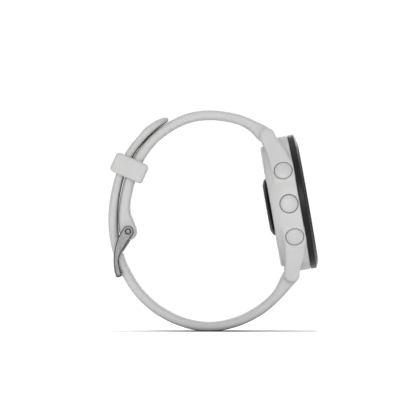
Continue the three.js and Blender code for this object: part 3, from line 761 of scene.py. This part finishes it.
LUG_SIDE = np.array(
    [(2.2, LUG_FOOT)]
    + bezier([(1.95, 13), (1.5, 18), (BAR[0] - LUG_RADIUS, BAR[1])], 10)
    + arc(BAR, LUG_RADIUS, 180, 0, 24)[1:-1]
    + bezier([(BAR[0] + LUG_RADIUS, BAR[1]), (5.5, 19.6), (8.6, 16.5), (8.75, 10.5)], 16)
    + [(8.75, LUG_FOOT)]
)


def lug_plan():
    """A lug seen from the screen side: its outer face leaves the round wall along a tangent."""
    leaves = math.atan2(LUG_TIP[1], LUG_TIP[0]) - math.acos(CASE_RADIUS / math.hypot(*LUG_TIP))
    tangent = (CASE_RADIUS * math.cos(leaves), CASE_RADIUS * math.sin(leaves))
    return np.array(
        [
            (LUG_INNER, LUG_FOOT), (tangent[0] - 1, LUG_FOOT),
            tangent,
            LUG_TIP,
            (LUG_TIP[0] - 0.6, LUG_TIP[1] + 0.8),
            (LUG_INNER, LUG_TIP[1] + 0.8),
        ]
    )


# What is taken from between two lugs for the strap's round end.
POCKET_SIDE = np.array(
    [(-4, POCKET_DEPTH)]
    + arc(BAR, BAR[1] - POCKET_DEPTH, -90, 90, 24)
    + [(BAR[0], 30), (-4, 30)]
)


def button_hole(hole, along, across, fillet):
    """A round hole from outside the case down to its floor."""
    return rounded_and(across - hole["radius"], hole["floor"] - along, fillet)


def opening_for_button(body, along, x, sideways):
    """A recess for a cap, a bore for its seal and a guide for its stem, all taken from the case."""
    across = np.hypot(x - BUTTON_HEIGHT, sideways)
    body = cut_from(body, button_hole(STEM_BORE, along, across, 0.05), 0.1)
    body = cut_from(body, button_hole(SEAL_BORE, along, across, 0.05), 0.1)
    return cut_from(body, button_hole(RECESS, along, across, 0.2), 0.2)


def make_case_field():
    """The case's solid: a flared wall with four lugs, hollowed for its contents and its cover."""
    lug_side = SideField(LUG_SIDE)
    plan = SideField(lug_plan())
    pocket_side = SideField(POCKET_SIDE)
    slope = np.array(WALL_FOOT) - (CASE_RIM, 0)
    slope /= np.linalg.norm(slope)
    turn = math.radians(BUTTON_DEGREES)

    def field(x, y, z):
        side, up = np.abs(y), np.abs(z)
        radius = np.hypot(y, z)
        wall = rounded_and(radius - CASE_RADIUS, x - CASE_TOP, 0.4)
        wall = rounded_and(wall, (radius - CASE_RIM) * slope[1] - x * slope[0], 2.2)
        wall = rounded_and(wall, -x, 0.35)
        lug = rounded_and(lug_side(x, up), plan(side, up), 0.9)
        body = rounded_or(wall, lug, 0.8)
        pocket = rounded_and(pocket_side(x, up), side - LUG_INNER, 0.5)
        body = cut_from(body, pocket, 0.4)
        bore = np.hypot(x - BAR[0], up - BAR[1]) - LUG_BORE["radius"]
        bore = np.maximum(bore, side - LUG_BORE["end"])
        body = cut_from(body, bore, 0.1)
        cavity = np.maximum(radius - CAVITY["radius"], CAVITY["floor"] - x)
        seat = np.maximum(radius - COVER_SEAT, x - LEDGE["height"])
        hollow = np.minimum(np.minimum(cavity, seat), radius - LEDGE["radius"])
        body = cut_from(body, hollow, 0.25)
        for degrees in SCREW_DEGREES:
            angle = math.radians(degrees)
            across = np.hypot(
                y - SCREW_CIRCLE * math.cos(angle),
                z - SCREW_CIRCLE * math.sin(angle),
            )
            height = np.abs(x - SCREW_BOSS["middle"]) - SCREW_BOSS["half"]
            boss = rounded_and(across - SCREW_BOSS["radius"], height, 0.2)
            body = cut_from(np.minimum(body, boss), across - SCREW_BOSS["hole"], 0.1)
        along = side * math.cos(turn) + up * math.sin(turn)
        sideways = up * math.cos(turn) - side * math.sin(turn)
        body = opening_for_button(body, along, x, sideways)
        return opening_for_button(body, -y, x, z)

    return field


CASE_BOX = ((-0.6, -21.6, -25.2), (9.5, 21.6, 25.2))
CASE_GRID = 0.3


def make_case():
    piece = grown("case_moulding", make_case_field(), *CASE_BOX, CASE_GRID, CASE)
    done(piece, "watch", "case", CASE_POLYMER, "case_middle")


LENS_PRINT = 18.9  # outside this radius the lens is black


def make_bezel_and_lens():
    bezel = [
        (17.9, 9.0, 0), (18.6, 9.0, 0), (18.6, 9.6, 0.1), (19.8, 9.6, 0.1), (19.8, 9.0, 0),
        (21.05, 9.0, 0.12), (21.05, 10.7, 0.3), (19.62, 11.4, 0.12), (19.45, 11.4, 0.05),
        (19.45, 10.15, 0), (17.9, 10.15, 0),
    ]
    piece = turned("bezel_ring", rounded_corners(bezel), CASE, 240)
    done(shaded(piece), "watch", "bezel", BEZEL_BLACK, "bezel")
    lens = [
        (0, 10.35, 0), (19.35, 10.35, 0.05), (19.35, 11.42, 0.06), (19.1, 11.6, 0.1),
        (0, 11.6, 0),
    ]
    piece = shaded(turned("lens_disc", rounded_corners(lens, 3), CASE, 200), 25)
    done(piece, "watch", "lens", LENS, "cover_lens")
    piece.data.materials.append(GLOSS_BLACK)
    back = CASE.inverted()
    for face in piece.data.polygons:
        centre = back @ face.center
        if math.hypot(centre.y, centre.z) > LENS_PRINT:
            face.material_index = 1


def make_rear_cover():
    plate = [
        (8.0, 0, 0.15), (17.6, 0, 0.3), (17.6, 1.1, 0.1), (8.0, 1.1, 0.1),
    ]
    cover = turned("rear_plate", rounded_corners(plate), CASE, 200)
    hole = [(0, -1, 0), (1.45, -1, 0), (1.45, 0.65, 0.1), (0.8, 0.65, 0), (0.8, 2, 0), (0, 2, 0)]
    tools = []
    for i, degrees in enumerate(SCREW_DEGREES):
        tools.append(turned(f"screw_hole_{i}", rounded_corners(hole, 2), at_screw(degrees), 48))
    socket = rounded_box(SOCKET["width"] + 0.2, SOCKET["length"] + 0.2, 0.8, 8)
    tools.append(prism("socket_hole", socket, -1, 2, matrix=at_socket()))
    carve(cover, tools)
    soften(cover, 0.12, 3)
    done(shaded(cover), "watch", "rear_cover", REAR_POLYMER, "rear_cover")


def at_screw(degrees):
    """A frame on a rear screw's axis."""
    angle = math.radians(degrees)
    y, z = SCREW_CIRCLE * math.cos(angle), SCREW_CIRCLE * math.sin(angle)
    return CASE @ Matrix.Translation((0, y, z)) @ Matrix.Rotation(angle, 4, "X")


def at_socket():
    """A frame in the middle of the charging socket, for prisms."""
    return IN_PLAN @ Matrix.Translation((SOCKET["y"], 0, 0))


def make_rear_screws():
    head = [
        (0, 0.08, 0), (1.3, 0.08, 0.14), (1.3, 0.6, 0.05), (0.65, 0.6, 0), (0.65, 4.6, 0.1),
        (0, 4.6, 0),
    ]
    hexagon = np.array(arc((0, 0), 0.6, 0, 300, 5))
    for i, degrees in enumerate(SCREW_DEGREES):
        place = at_screw(degrees)
        screw = turned(f"screw_{i + 1}", rounded_corners(head, 4), place, 48)
        carve(screw, [prism(f"hexagon_{i}", hexagon, -1, HEXAGON_DEPTH, matrix=place @ SWAP_XY)])
        soften(screw, 0.05, 2)
        done(shaded(screw), "watch", "steel", PLAIN_STEEL, f"rear_screw_{i + 1}")


def make_charging_socket():
    outline = rounded_box(SOCKET["width"], SOCKET["length"], 0.7, 8)
    block = prism("socket_block", outline, 0.15, 1.95, 0.08, 2, at_socket())
    recess = rounded_box(SOCKET["width"] - 1, SOCKET["length"] - 1, 0.5, 8)
    carve(block, [prism("socket_recess", recess, -1, SOCKET["recess"], matrix=at_socket())])
    hole = np.array([(0, 0.3), (0.45, 0.3), (0.45, 3), (0, 3)])
    places = [CASE @ Matrix.Translation((0, SOCKET["y"], z)) for z in CONTACT_Z]
    holes = [turned(f"contact_hole_{i}", hole, place, 32) for i, place in enumerate(places)]
    carve(block, holes)
    soften(block, 0.06, 2)
    done(shaded(block), "watch", "black_plastic", MATT_BLACK, "charging_socket")
    pin = rounded_corners([(0, 0.6, 0), (0.4, 0.6, 0.3), (0.4, 2.3, 0), (0, 2.3, 0)], 6)
    for i, place in enumerate(places):
        contact = turned(f"contact_{i + 1}", pin, place, 32)
        done(shaded(contact), "watch", "contacts", GOLD_PLATE, f"charging_contact_{i + 1}")


INLAY = (-1.43, -1.2, 0.03, 2)  # from, to, rim and the rim's steps of the lenses in the dome
DIODE = {"distance": 3.4, "side": 2.5, "corner": 0.35}
LED = {"distance": 3.6, "radius": 0.85}
MIDDLE_LED = 1.1


def make_sensor_window():
    """The black dome under the case, with four diodes' lenses, four LEDs' and one in the middle."""
    dome = [
        (0, -1.4, 0), (7.0, -1.4, 2.0), (8.55, -0.75, 1.2), (9.05, -0.1, 0.08), (7.9, -0.1, 0),
        (7.9, 1.25, 0), (0, 1.25, 0),
    ]
    window = turned("sensor_dome", rounded_corners(dome, 8), CASE, 160)
    done(shaded(window, 40), "watch", "sensor_window", SENSOR_BLACK, "sensor_window")
    lenses = []
    for i in range(4):
        angle = math.radians(90 * i)
        for name, distance, outline in (
            ("diode", DIODE["distance"], rounded_box(DIODE["side"], DIODE["side"], DIODE["corner"])),
            ("lamp", LED["distance"], np.array(arc((0, 0), LED["radius"], 0, 345, 23))),
        ):
            turn = angle + (math.pi / 4 if name == "lamp" else 0)
            y, z = distance * math.cos(turn), distance * math.sin(turn)
            place = IN_PLAN @ Matrix.Translation((y, 0, z)) @ Matrix.Rotation(-turn, 4, "Y")
            lenses.append(prism(f"{name}_{i}", outline, *INLAY, place))
    centre = np.array(arc((0, 0), MIDDLE_LED, 0, 350, 35))
    lenses.append(prism("centre_lamp", centre, *INLAY, IN_PLAN))
    inlay = joined(lenses)
    inlay.name = "sensor_inlay"
    done(shaded(inlay), "watch", "sensor_window", SENSOR_TINT)


# Each button's side of the case, -1 for the 9 o'clock side, and its angle above the middle.
BUTTONS = {
    "light": (-1, BUTTON_DEGREES),
    "up": (-1, 0),
    "down": (-1, -BUTTON_DEGREES),
    "start": (1, BUTTON_DEGREES),
    "back": (1, -BUTTON_DEGREES),
}


def make_buttons():
    """Each button is a low domed cap on a grooved stem."""
    dome = []
    for i in range(DOME_STEPS + 1):
        angle = math.pi / 2 * i / DOME_STEPS
        radius = CAP_RADIUS * max(math.cos(angle), 0) ** 0.72
        dome.append((radius, CAP_SHOULDER + CAP_DOME * math.sin(angle) ** 0.95))
    stem = [
        (0, 16.6), (0.85, 16.6), (0.95, 16.7), (0.95, 17.3), (0.7, 17.3), (0.7, 17.6),
        (0.95, 17.6), (0.95, 20.3), (CAP_RADIUS - 0.1, 20.3), (CAP_RADIUS, 20.4),
    ]
    for name, (side, degrees) in BUTTONS.items():
        angle = math.radians(degrees)
        out = Vector((0, side * math.cos(angle), math.sin(angle)))
        up = Vector((1, 0, 0))
        turn = Matrix((out, up, out.cross(up))).transposed().to_4x4()
        place = CASE @ Matrix.Translation((BUTTON_HEIGHT, 0, 0)) @ turn
        cap = turned(f"cap_{name}", np.array(stem + dome), place, 96)
        done(shaded(cap), f"button_{name}", "buttons", CASE_POLYMER, f"button_{name}")


# ---- the display under the lens

DISPLAY_BACK = 8.75
DISPLAY_FACE = 9.9
DISPLAY_RADIUS = 15.9
MARK_LEVELS = (DISPLAY_FACE - 0.02, DISPLAY_FACE + 0.03)
# Width and length of the dial's marks, and how far out their middles are.
HOUR_MARK = (0.42, 1.5, 14.6)
MINUTE_MARK = (0.2, 0.8, 14.95)
MARK_CORNER = 0.09
NUMERALS = {"distance": 12.1, "size": 3.0}
# Degrees past 12 o'clock, width, length, tail, height above the display and material.
HANDS = {
    "hour_hand": (304, 1.15, 7.6, 1.6, 0.03, DIAL_WHITE),
    "minute_hand": (54, 0.85, 11.6, 1.8, 0.07, DIAL_WHITE),
    "second_hand": (210, 0.28, 13.2, 2.8, 0.11, DIAL_ACCENT),
}
HAND_THICKNESS = 0.035
HUB = {"radius": 0.8, "height": 0.17}


def dial_place(degrees, distance=0.0):
    """Where a mark goes on the dial, that many degrees clockwise from 12 o'clock."""
    angle = math.radians(degrees)
    y, z = distance * math.sin(angle), distance * math.cos(angle)
    return IN_PLAN @ Matrix.Translation((y, 0, z)) @ Matrix.Rotation(angle, 4, "Y")


def hand_outline(width, length, tail):
    """A slim hand with a rounded tail and a blunt point."""
    return rounded_corners(
        [
            (width / 2, -tail, width / 2.2), (width / 2, length * 0.93, width / 4),
            (0, length, width / 9), (-width / 2, length * 0.93, width / 4),
            (-width / 2, -tail, width / 2.2),
        ]
    )


def make_display():
    panel = [
        (0, DISPLAY_BACK, 0), (DISPLAY_RADIUS, DISPLAY_BACK, 0),
        (DISPLAY_RADIUS, DISPLAY_FACE, 0.1), (0, DISPLAY_FACE, 0),
    ]
    piece = turned("display_glass", rounded_corners(panel), CASE, 160)
    done(shaded(piece), "watch", "display", DISPLAY_BLACK, "display_panel")
    marks = []
    for minute in range(60):
        width, length, distance = HOUR_MARK if minute % 5 == 0 else MINUTE_MARK
        mark = rounded_box(width, length, MARK_CORNER, 2)
        place = dial_place(6 * minute, distance)
        marks.append(prism(f"minute_{minute}", mark, *MARK_LEVELS, matrix=place))
    numerals = [numeral(hour) for hour in range(1, 13)]
    for name, parts in (("dial_marks", marks), ("dial_numerals", numerals)):
        piece = joined(parts)
        piece.name = name
        done(piece, "watch", "display", DIAL_WHITE)
    for name, (degrees, width, length, tail, level, material) in HANDS.items():
        outline = hand_outline(width, length, tail)
        face = DISPLAY_FACE + level
        hand = prism(name, outline, face, face + HAND_THICKNESS, matrix=dial_place(degrees))
        done(hand, "watch", "display", material)
    top = DISPLAY_FACE + HUB["height"]
    hub = np.array([(0, DISPLAY_FACE), (HUB["radius"], DISPLAY_FACE), (HUB["radius"], top), (0, top)])
    done(shaded(turned("dial_hub", hub, CASE, 48)), "watch", "display", DIAL_ACCENT)


def numeral(hour):
    """One of the dial's numbers, upright and in its place."""
    low, high = MARK_LEVELS
    angle = math.radians(30 * hour)
    across, up = NUMERALS["distance"] * math.sin(angle), NUMERALS["distance"] * math.cos(angle)
    text = bpy.data.curves.new(f"numeral_{hour}", "FONT")
    text.body = str(hour)
    text.size = NUMERALS["size"]
    text.extrude = (high - low) / 2
    text.align_x = "CENTER"
    text.align_y = "CENTER"
    letters = put_in_scene(f"numeral_{hour}", text)
    bpy.context.view_layer.update()
    graph = bpy.context.evaluated_depsgraph_get()
    mesh = bpy.data.meshes.new_from_object(letters.evaluated_get(graph))
    bpy.data.objects.remove(letters)
    upright = Matrix(((0, 0, 1, (low + high) / 2), (1, 0, 0, across), (0, 1, 0, up), (0, 0, 0, 1)))
    mesh.transform(CASE @ upright)
    return put_in_scene(f"numeral_{hour}", mesh)


# ---- the strap

WRIST = np.array((0.62, 34.1))
STRAP_GRID = 0.36
STRAP_MARGIN = 0.7
STRAP_SLICE = 3.0  # this plane across a strap misses its slots and notches
STRAP_HALF = 9.8
STRAP_RIM = 1.0
STRAP_CROWN = 0.25
# Where the two layers of strap face each other, by degrees round the wrist. Their edges are drawn in
# there by the depth, less and less up to the distance fade.
SEAM = {
    "degrees": (112, 120, 126, 138, 152, 164, 176, 190),
    "radii": (33.6, 33.1, 32.6, 31.7, 30.5, 29.6, 29.15, 29.1),
    "depth": 0.4,
    "fade": 2.2,
}
BAR_HOLE = 1.0
PIN_HOLE = 0.85
LEVER_SLOT = {"low": 4.3, "high": 8.2, "half": 0.85, "length": 4.0}
SLOT = {"width": 3.0, "length": 6.0, "corner": 1.0, "pitch": 14.9, "middle": -159.5, "inner": 26}
SLOT_NUMBERS = range(-4, 5)
# The tail strap's tip, and how far past it the rounding of its corners is worked out.
TIP = {"degrees": 113.0, "radius": 34.35, "round": 6.0, "reach": 3}
FAR = 99  # stands for the rest of the strap, which no rounding of the tip reaches
TONGUE_NOTCH = {"half": 1.5, "top": 2.3, "back": 3.4, "foot": 8}


def case_point(x, z):
    """A point of the case's middle plane, as x and z in the row."""
    point = CASE @ Vector((x, 0, z)) / MM
    return np.array((point.x, point.z))


def from_bar(up, x, z):
    """A point's place along the lever's way from a spring bar to the wrist's middle, and across it."""
    bar = case_point(BAR[0], up * BAR[1])
    way = (WRIST - bar) / np.linalg.norm(WRIST - bar)
    u, v = x - bar[0], z - bar[1]
    return u * way[0] + v * way[1], v * way[0] - u * way[1]


def spring_bar_end(body, up, x, y, z):
    """A strap's end with the bore for its spring bar and the slot for the bar's lever."""
    inward, across = from_bar(up, x, z)
    body = cut_from(body, np.hypot(inward, across) - BAR_HOLE, 0.2)
    middle = (LEVER_SLOT["low"] + LEVER_SLOT["high"]) / 2
    length = LEVER_SLOT["high"] - LEVER_SLOT["low"]
    slot = box_field(across, y - middle, LEVER_SLOT["half"], length / 2, 0.5)
    slot = np.maximum(slot, np.abs(inward - LEVER_SLOT["length"] / 2) - LEVER_SLOT["length"] / 2)
    return cut_from(body, slot, 0.25)


def crown(x, y, z):
    """How much thinner a strap gets towards its edges, most of all where two layers face each other."""
    u, v = x - WRIST[0], z - WRIST[1]
    degrees = np.degrees(np.arctan2(v, u)) % 360
    from_seam = np.abs(np.hypot(u, v) - np.interp(degrees, SEAM["degrees"], SEAM["radii"], 0, 0))
    facing = SEAM["depth"] * np.clip(1 - from_seam / SEAM["fade"], 0, 1)
    return (STRAP_CROWN + facing) * (np.abs(y) / STRAP_HALF) ** 4


def make_tail_strap():
    """The strap half with the slots. Its tip is round in plan, and it stands flat on the floor."""
    side = SideField(smooth_outline(slices("strap_tail_side", STRAP_SLICE)[0]))

    def field(x, y, z):
        u, v = x - WRIST[0], z - WRIST[1]
        degrees = np.degrees(np.arctan2(v, u))
        from_tip = np.radians(degrees - TIP["degrees"]) * TIP["radius"]
        from_tip = np.where(from_tip < -TIP["reach"], FAR, from_tip)
        short = np.clip(TIP["round"] - from_tip, 0, TIP["round"] - 0.01)
        half = STRAP_HALF - TIP["round"] + np.sqrt(TIP["round"] ** 2 - short**2)
        body = rounded_and(side(x, z) + crown(x, y, z), np.abs(y) - half, STRAP_RIM)
        for number in SLOT_NUMBERS:
            angle = math.radians(SLOT["middle"] + number * SLOT["pitch"])
            out = u * math.cos(angle) + v * math.sin(angle)
            along = v * math.cos(angle) - u * math.sin(angle)
            slot = box_field(y, along, SLOT["width"] / 2, SLOT["length"] / 2, SLOT["corner"])
            body = cut_from(body, np.maximum(slot, SLOT["inner"] - out), 0.35)
        return np.maximum(spring_bar_end(body, -1, x, y, z), -z)

    box = box_around("strap_tail_side", STRAP_MARGIN)
    piece = grown("tail_strap", field, *box, STRAP_GRID)
    done(piece, "watch", "strap", SILICONE, "strap_tail_side")


def make_buckle_strap():
    """The strap half that ends on the buckle's pin, with a notch there for the tongue."""
    side = SideField(smooth_outline(slices("strap_buckle_side", STRAP_SLICE)[0]))

    def field(x, y, z):
        body = rounded_and(side(x, z) + crown(x, y, z), np.abs(y) - STRAP_HALF, STRAP_RIM)
        u, v = x - PIN.x, z - PIN.z
        body = cut_from(body, np.hypot(u, v) - PIN_HOLE, 0.15)
        notch = np.maximum(v - TONGUE_NOTCH["top"], u - TONGUE_NOTCH["back"])
        notch = rounded_and(notch, np.abs(y) - TONGUE_NOTCH["half"], 0.3)
        notch = np.maximum(notch, -v - TONGUE_NOTCH["foot"])
        body = cut_from(body, notch, 0.3)
        return spring_bar_end(body, 1, x, y, z)

    box = box_around("strap_buckle_side", STRAP_MARGIN)
    piece = grown("buckle_strap", field, *box, STRAP_GRID)
    done(piece, "watch", "strap", SILICONE, "strap_buckle_side")


KEEPER = {"outer": 10.7, "inner": 7.9, "width": 23.4, "opening": 20.4, "length": 6.3, "round": 1.2}
KEEPER_DEGREES = 155.8
KEEPER_RADIUS = 31.7
KEEPER_GRID = 0.25


def make_keeper():
    """The keeper's own x points away from the wrist, and the strap runs through it along its z."""
    angle = math.radians(KEEPER_DEGREES)
    out = Vector((math.cos(angle), 0, math.sin(angle)))
    place = placed(out, ACROSS, (KEEPER_ARC + out * KEEPER_RADIUS) * MM)

    def field(x, y, z):
        outer = box_field(x, z, KEEPER["outer"] / 2, KEEPER["length"] / 2, KEEPER["round"])
        outer = rounded_and(outer, np.abs(y) - KEEPER["width"] / 2, 0.9)
        opening = box_field(x, y, KEEPER["inner"] / 2, KEEPER["opening"] / 2, 0.9)
        return cut_from(outer, opening, 0.45)

    reach = np.array((KEEPER["outer"], KEEPER["width"], KEEPER["length"])) / 2 + 0.6
    piece = grown("keeper_band", field, -reach, reach, KEEPER_GRID, place)
    done(piece, "keeper", "strap", SILICONE, "strap_keeper")


SPRING = {"wire": 0.13, "turns": 6, "steps": 24, "sides": 8, "fixed": -6.9, "travel": 1.3}


def make_release_springs():
    """The coil in each spring bar, built at its resting length."""
    for bar in ("upper", "lower"):
        low, high = (Vector(corner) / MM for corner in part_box(f"{bar}_spring_bar_spring"))
        middle = (low + high) / 2
        wire = SPRING["wire"]
        radius = (high.x - low.x) / 2 - wire
        points = []
        count = SPRING["turns"] * SPRING["steps"]
        for i in range(count + 1):
            angle = 2 * math.pi * i / SPRING["steps"]
            along = low.y + wire + (high.y - low.y - 2 * wire) * i / count
            for k in range(SPRING["sides"]):
                turn = 2 * math.pi * k / SPRING["sides"]
                out = radius + wire * math.cos(turn)
                x = middle.x + out * math.cos(angle)
                z = middle.z + out * math.sin(angle)
                points.append((x, along + wire * math.sin(turn), z))
        faces = grid_faces(count + 1, SPRING["sides"], False)
        faces.append(tuple(range(SPRING["sides"])))
        faces.append(tuple(range(len(points) - SPRING["sides"], len(points))))
        piece = shaded(piece_from(f"{bar}_release_coil", points, faces))
        done(piece, "watch", "steel", PLAIN_STEEL, f"{bar}_spring_bar_spring")
        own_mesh(piece)


# ---- the buckle

BLADE = {"inner": 10.15, "outer": 11.9}
TONGUE_HALF = 1.2
TONGUE_REST = 1.4
FRAME_BORE = 0.81
PIN_ROD = {"radius": 0.75, "half": 11.8, "rim": 0.22}
FRAME_GRID = 0.2
TONGUE_GRID = 0.14


def from_pin(node, y, grid, *smoothing):
    """The field of a CAD node's side outline at y, measured from the pin."""
    loop = slices(node, y)[0] - np.array((PIN.x, PIN.z))
    return SideField(smooth_outline(loop, *smoothing), grid)


def make_buckle():
    """The frame, which is two blades and a crossbar with a rest for the tongue, the tongue and the pin."""
    blade = from_pin("buckle_frame", 11, 0.08, 0.2)
    bar = from_pin("buckle_frame", 5, 0.08, 0.15, 50, 2)
    rest = from_pin("buckle_frame", 0, 0.08, 0.15, 50, 2)
    place = placed((1, 0, 0), ACROSS, PIN * MM)
    middle, half = (BLADE["inner"] + BLADE["outer"]) / 2, (BLADE["outer"] - BLADE["inner"]) / 2

    def field(x, y, z):
        side = np.abs(y)
        blades = rounded_and(blade(x, z), np.abs(side - middle) - half, 0.38)
        crossbar = rounded_and(bar(x, z), side - middle, 0.22)
        notch = rounded_and(-rest(x, z), side - TONGUE_REST, 0.1)
        crossbar = cut_from(crossbar, notch, 0.15)
        body = rounded_or(blades, crossbar, 0.5)
        return cut_from(body, np.hypot(x, z) - FRAME_BORE, 0.12)

    low, high = corners_in("buckle_frame", place)
    piece = grown("steel_frame", field, low - 0.5, high + 0.5, FRAME_GRID, place)
    done(piece, "buckle_frame", "buckle_steel", BUCKLE_STEEL, "buckle_frame")

    tongue = from_pin("buckle_tongue", 0, 0.06, 0.15)

    def tongue_field(x, y, z):
        body = rounded_and(tongue(x, z), np.abs(y) - TONGUE_HALF, 0.28)
        return cut_from(body, np.hypot(x, z) - PIN_HOLE, 0.12)

    low, high = corners_in("buckle_tongue", place)
    piece = grown("steel_tongue", tongue_field, low - 0.4, high + 0.4, TONGUE_GRID, place)
    done(piece, "buckle_tongue", "buckle_steel", BUCKLE_STEEL, "buckle_tongue")

    along = placed((0, 1, 0), (1, 0, 0), PIN * MM)
    radius, half, rim = PIN_ROD["radius"], PIN_ROD["half"], PIN_ROD["rim"]
    rod = [(0, -half, 0), (radius, -half, rim), (radius, half, rim), (0, half, 0)]
    piece = turned("steel_pin", rounded_corners(rod, 6), along, 64)
    done(shaded(piece), "buckle_frame", "buckle_steel", BUCKLE_STEEL, "buckle_pin")


# ---- floor, light and camera

VIEW_HEIGHT = 37.5
VIEW_WIDTH = 130.2
VIEW_DISTANCE = 2400.0
SENSOR = 36.0
NEAREST_SEEN = 0.01
FLOOR_RADIUS = 330.0
FLOOR_BOUNCE = 0.55  # the share of its paleness that the floor throws back at the watch
# A painted shadow on the floor under the watch, a dark ellipse in the floor's colour: its middle, half its length
# and width, and how dark.
PAINTED_SHADOW = {"x": 2.3, "length": 28.0, "width": 34.0, "depth": 0.95}
SIDE_LEVEL = 0.34  # how bright the surroundings are above, below and in line with x
FRONT_LEVEL = 0.8  # and how bright in line with y
BACKDROP_LEVEL = 1.05
LIGHTS_AIM = (0, 0, 0.035)
# Place, size and power of the lamps, in metres and watts.
SOFTBOXES = {
    "front_softbox": ((-0.1, -0.85, 0.16), (0.5, 0.45), 1.9),
    "top_softbox": ((0, 0.1, 0.7), (0.5, 0.5), 0.5),
    "back_softbox": ((0.1, 0.85, 0.2), (0.5, 0.45), 1.6),
}
FLOOR_LAMPS = {
    "floor_front": ((0, -0.3, 0.55), (0.1, 0.1), 2.9),
    "floor_top": ((0, 0, 0.55), (0.1, 0.1), 2.7),
    "floor_back": ((0, 0.3, 0.55), (0.1, 0.1), 2.9),
}


def soft_light(name, target, place, size, power):
    """A square or oblong lamp that points at its target."""
    lamp = bpy.data.lights.new(name, "AREA")
    lamp.shape = "RECTANGLE"
    lamp.size, lamp.size_y = size
    lamp.energy = power
    light = put_in_scene(name, lamp)
    light.location = place
    light.rotation_euler = (Vector(target) - Vector(place)).to_track_quat("-Z", "Y").to_euler()
    return light


def floor_material():
    """Pale floor with a painted shadow, a dark ellipse in its colour where the watch stands, and which throws
    little light back up at the watch.
    """
    nodes = MaterialNodes("pale_floor")
    place = nodes.add("ShaderNodeMapping", Vector=nodes.place)
    place.vector_type = "TEXTURE"
    place.inputs["Location"].default_value = Vector((PAINTED_SHADOW["x"], 0, 0)) * MM
    place.inputs["Scale"].default_value = Vector((PAINTED_SHADOW["length"], PAINTED_SHADOW["width"], 1000)) * MM
    # Painted shadow: the floor's colour is darkened in this ellipse under the watch, in place of a cast shadow.
    painted_shadow_ellipse = nodes.add("ShaderNodeTexGradient", Vector=place.outputs["Vector"])
    painted_shadow_ellipse.gradient_type = "SPHERICAL"
    kept = nodes.ranged(painted_shadow_ellipse.outputs["Fac"], 1, 1 - PAINTED_SHADOW["depth"], 0, 0.7)
    path = nodes.add("ShaderNodeLightPath")
    bounce = nodes.ranged(path.outputs["Is Camera Ray"], FLOOR_BOUNCE, 1, 0, 1)
    tone = nodes.ranged(nodes.noise(60.0), 0.50, 0.53)
    tone = nodes.calculated("MULTIPLY", nodes.calculated("MULTIPLY", tone, kept), bounce)
    return nodes.set(Base_Color=tone, Roughness=0.7)


def make_floor():
    outline = arc((0, 0), FLOOR_RADIUS, 0, 357.5, 143)
    mesh = bpy.data.meshes.new("floor")
    mesh.from_pydata([Vector((x, y, 0)) * MM for x, y in outline], [], [tuple(range(len(outline)))])
    mesh.materials.append(floor_material())
    floor = put_in_scene("floor", mesh)
    return floor


def make_surroundings():
    """White where the camera sees them. As light they are brightest in line with y, before and behind."""
    world = bpy.data.worlds.new("studio")
    bpy.context.scene.world = world
    nodes = Nodes(world)
    tree = nodes.tree
    split = nodes.add("ShaderNodeSeparateXYZ", Vector=nodes.add("ShaderNodeTexCoord").outputs["Generated"])
    facing = nodes.calculated("ABSOLUTE", split.outputs["Y"])
    lit = tree.nodes["Background"]
    lit.inputs["Color"].default_value = (1, 1, 1, 1)
    nodes.put(lit.inputs["Strength"], nodes.ranged(facing, SIDE_LEVEL, FRONT_LEVEL, 0, 1))
    seen = nodes.add("ShaderNodeBackground", Color=(1, 1, 1, 1), Strength=BACKDROP_LEVEL)
    split_by_ray(tree, "Is Camera Ray", lit, seen, tree.nodes["World Output"].inputs["Surface"])


def make_lights(floor):
    """Soft boxes light everything, and three small lamps light only the floor."""
    for name, lamp in SOFTBOXES.items():
        soft_light(name, LIGHTS_AIM, *lamp)
    only_floor = bpy.data.collections.new("only_floor")
    only_floor.objects.link(floor)
    for name, lamp in FLOOR_LAMPS.items():
        light = soft_light(name, (0, 0, 0), *lamp)
        light.light_linking.receiver_collection = only_floor


def make_camera():
    """A long lens far away on the 9 o'clock side, at about the height of the case's middle."""
    lens = bpy.data.cameras.new("camera")
    lens.sensor_width = SENSOR
    lens.lens = SENSOR * VIEW_DISTANCE / VIEW_WIDTH
    lens.clip_start = NEAREST_SEEN
    camera = put_in_scene("camera", lens)
    camera.location = Vector((0, -VIEW_DISTANCE, VIEW_HEIGHT)) * MM
    camera.rotation_euler = (math.pi / 2, 0, 0)
    bpy.context.scene.camera = camera


finish_cad_nodes()
make_case()
make_bezel_and_lens()
make_rear_cover()
make_rear_screws()
make_charging_socket()
make_sensor_window()
make_buttons()
make_display()
make_tail_strap()
make_buckle_strap()
make_keeper()
make_release_springs()
make_buckle()
bpy.context.scene.view_settings.view_transform = "Standard"
make_lights(make_floor())
make_surroundings()
make_camera()
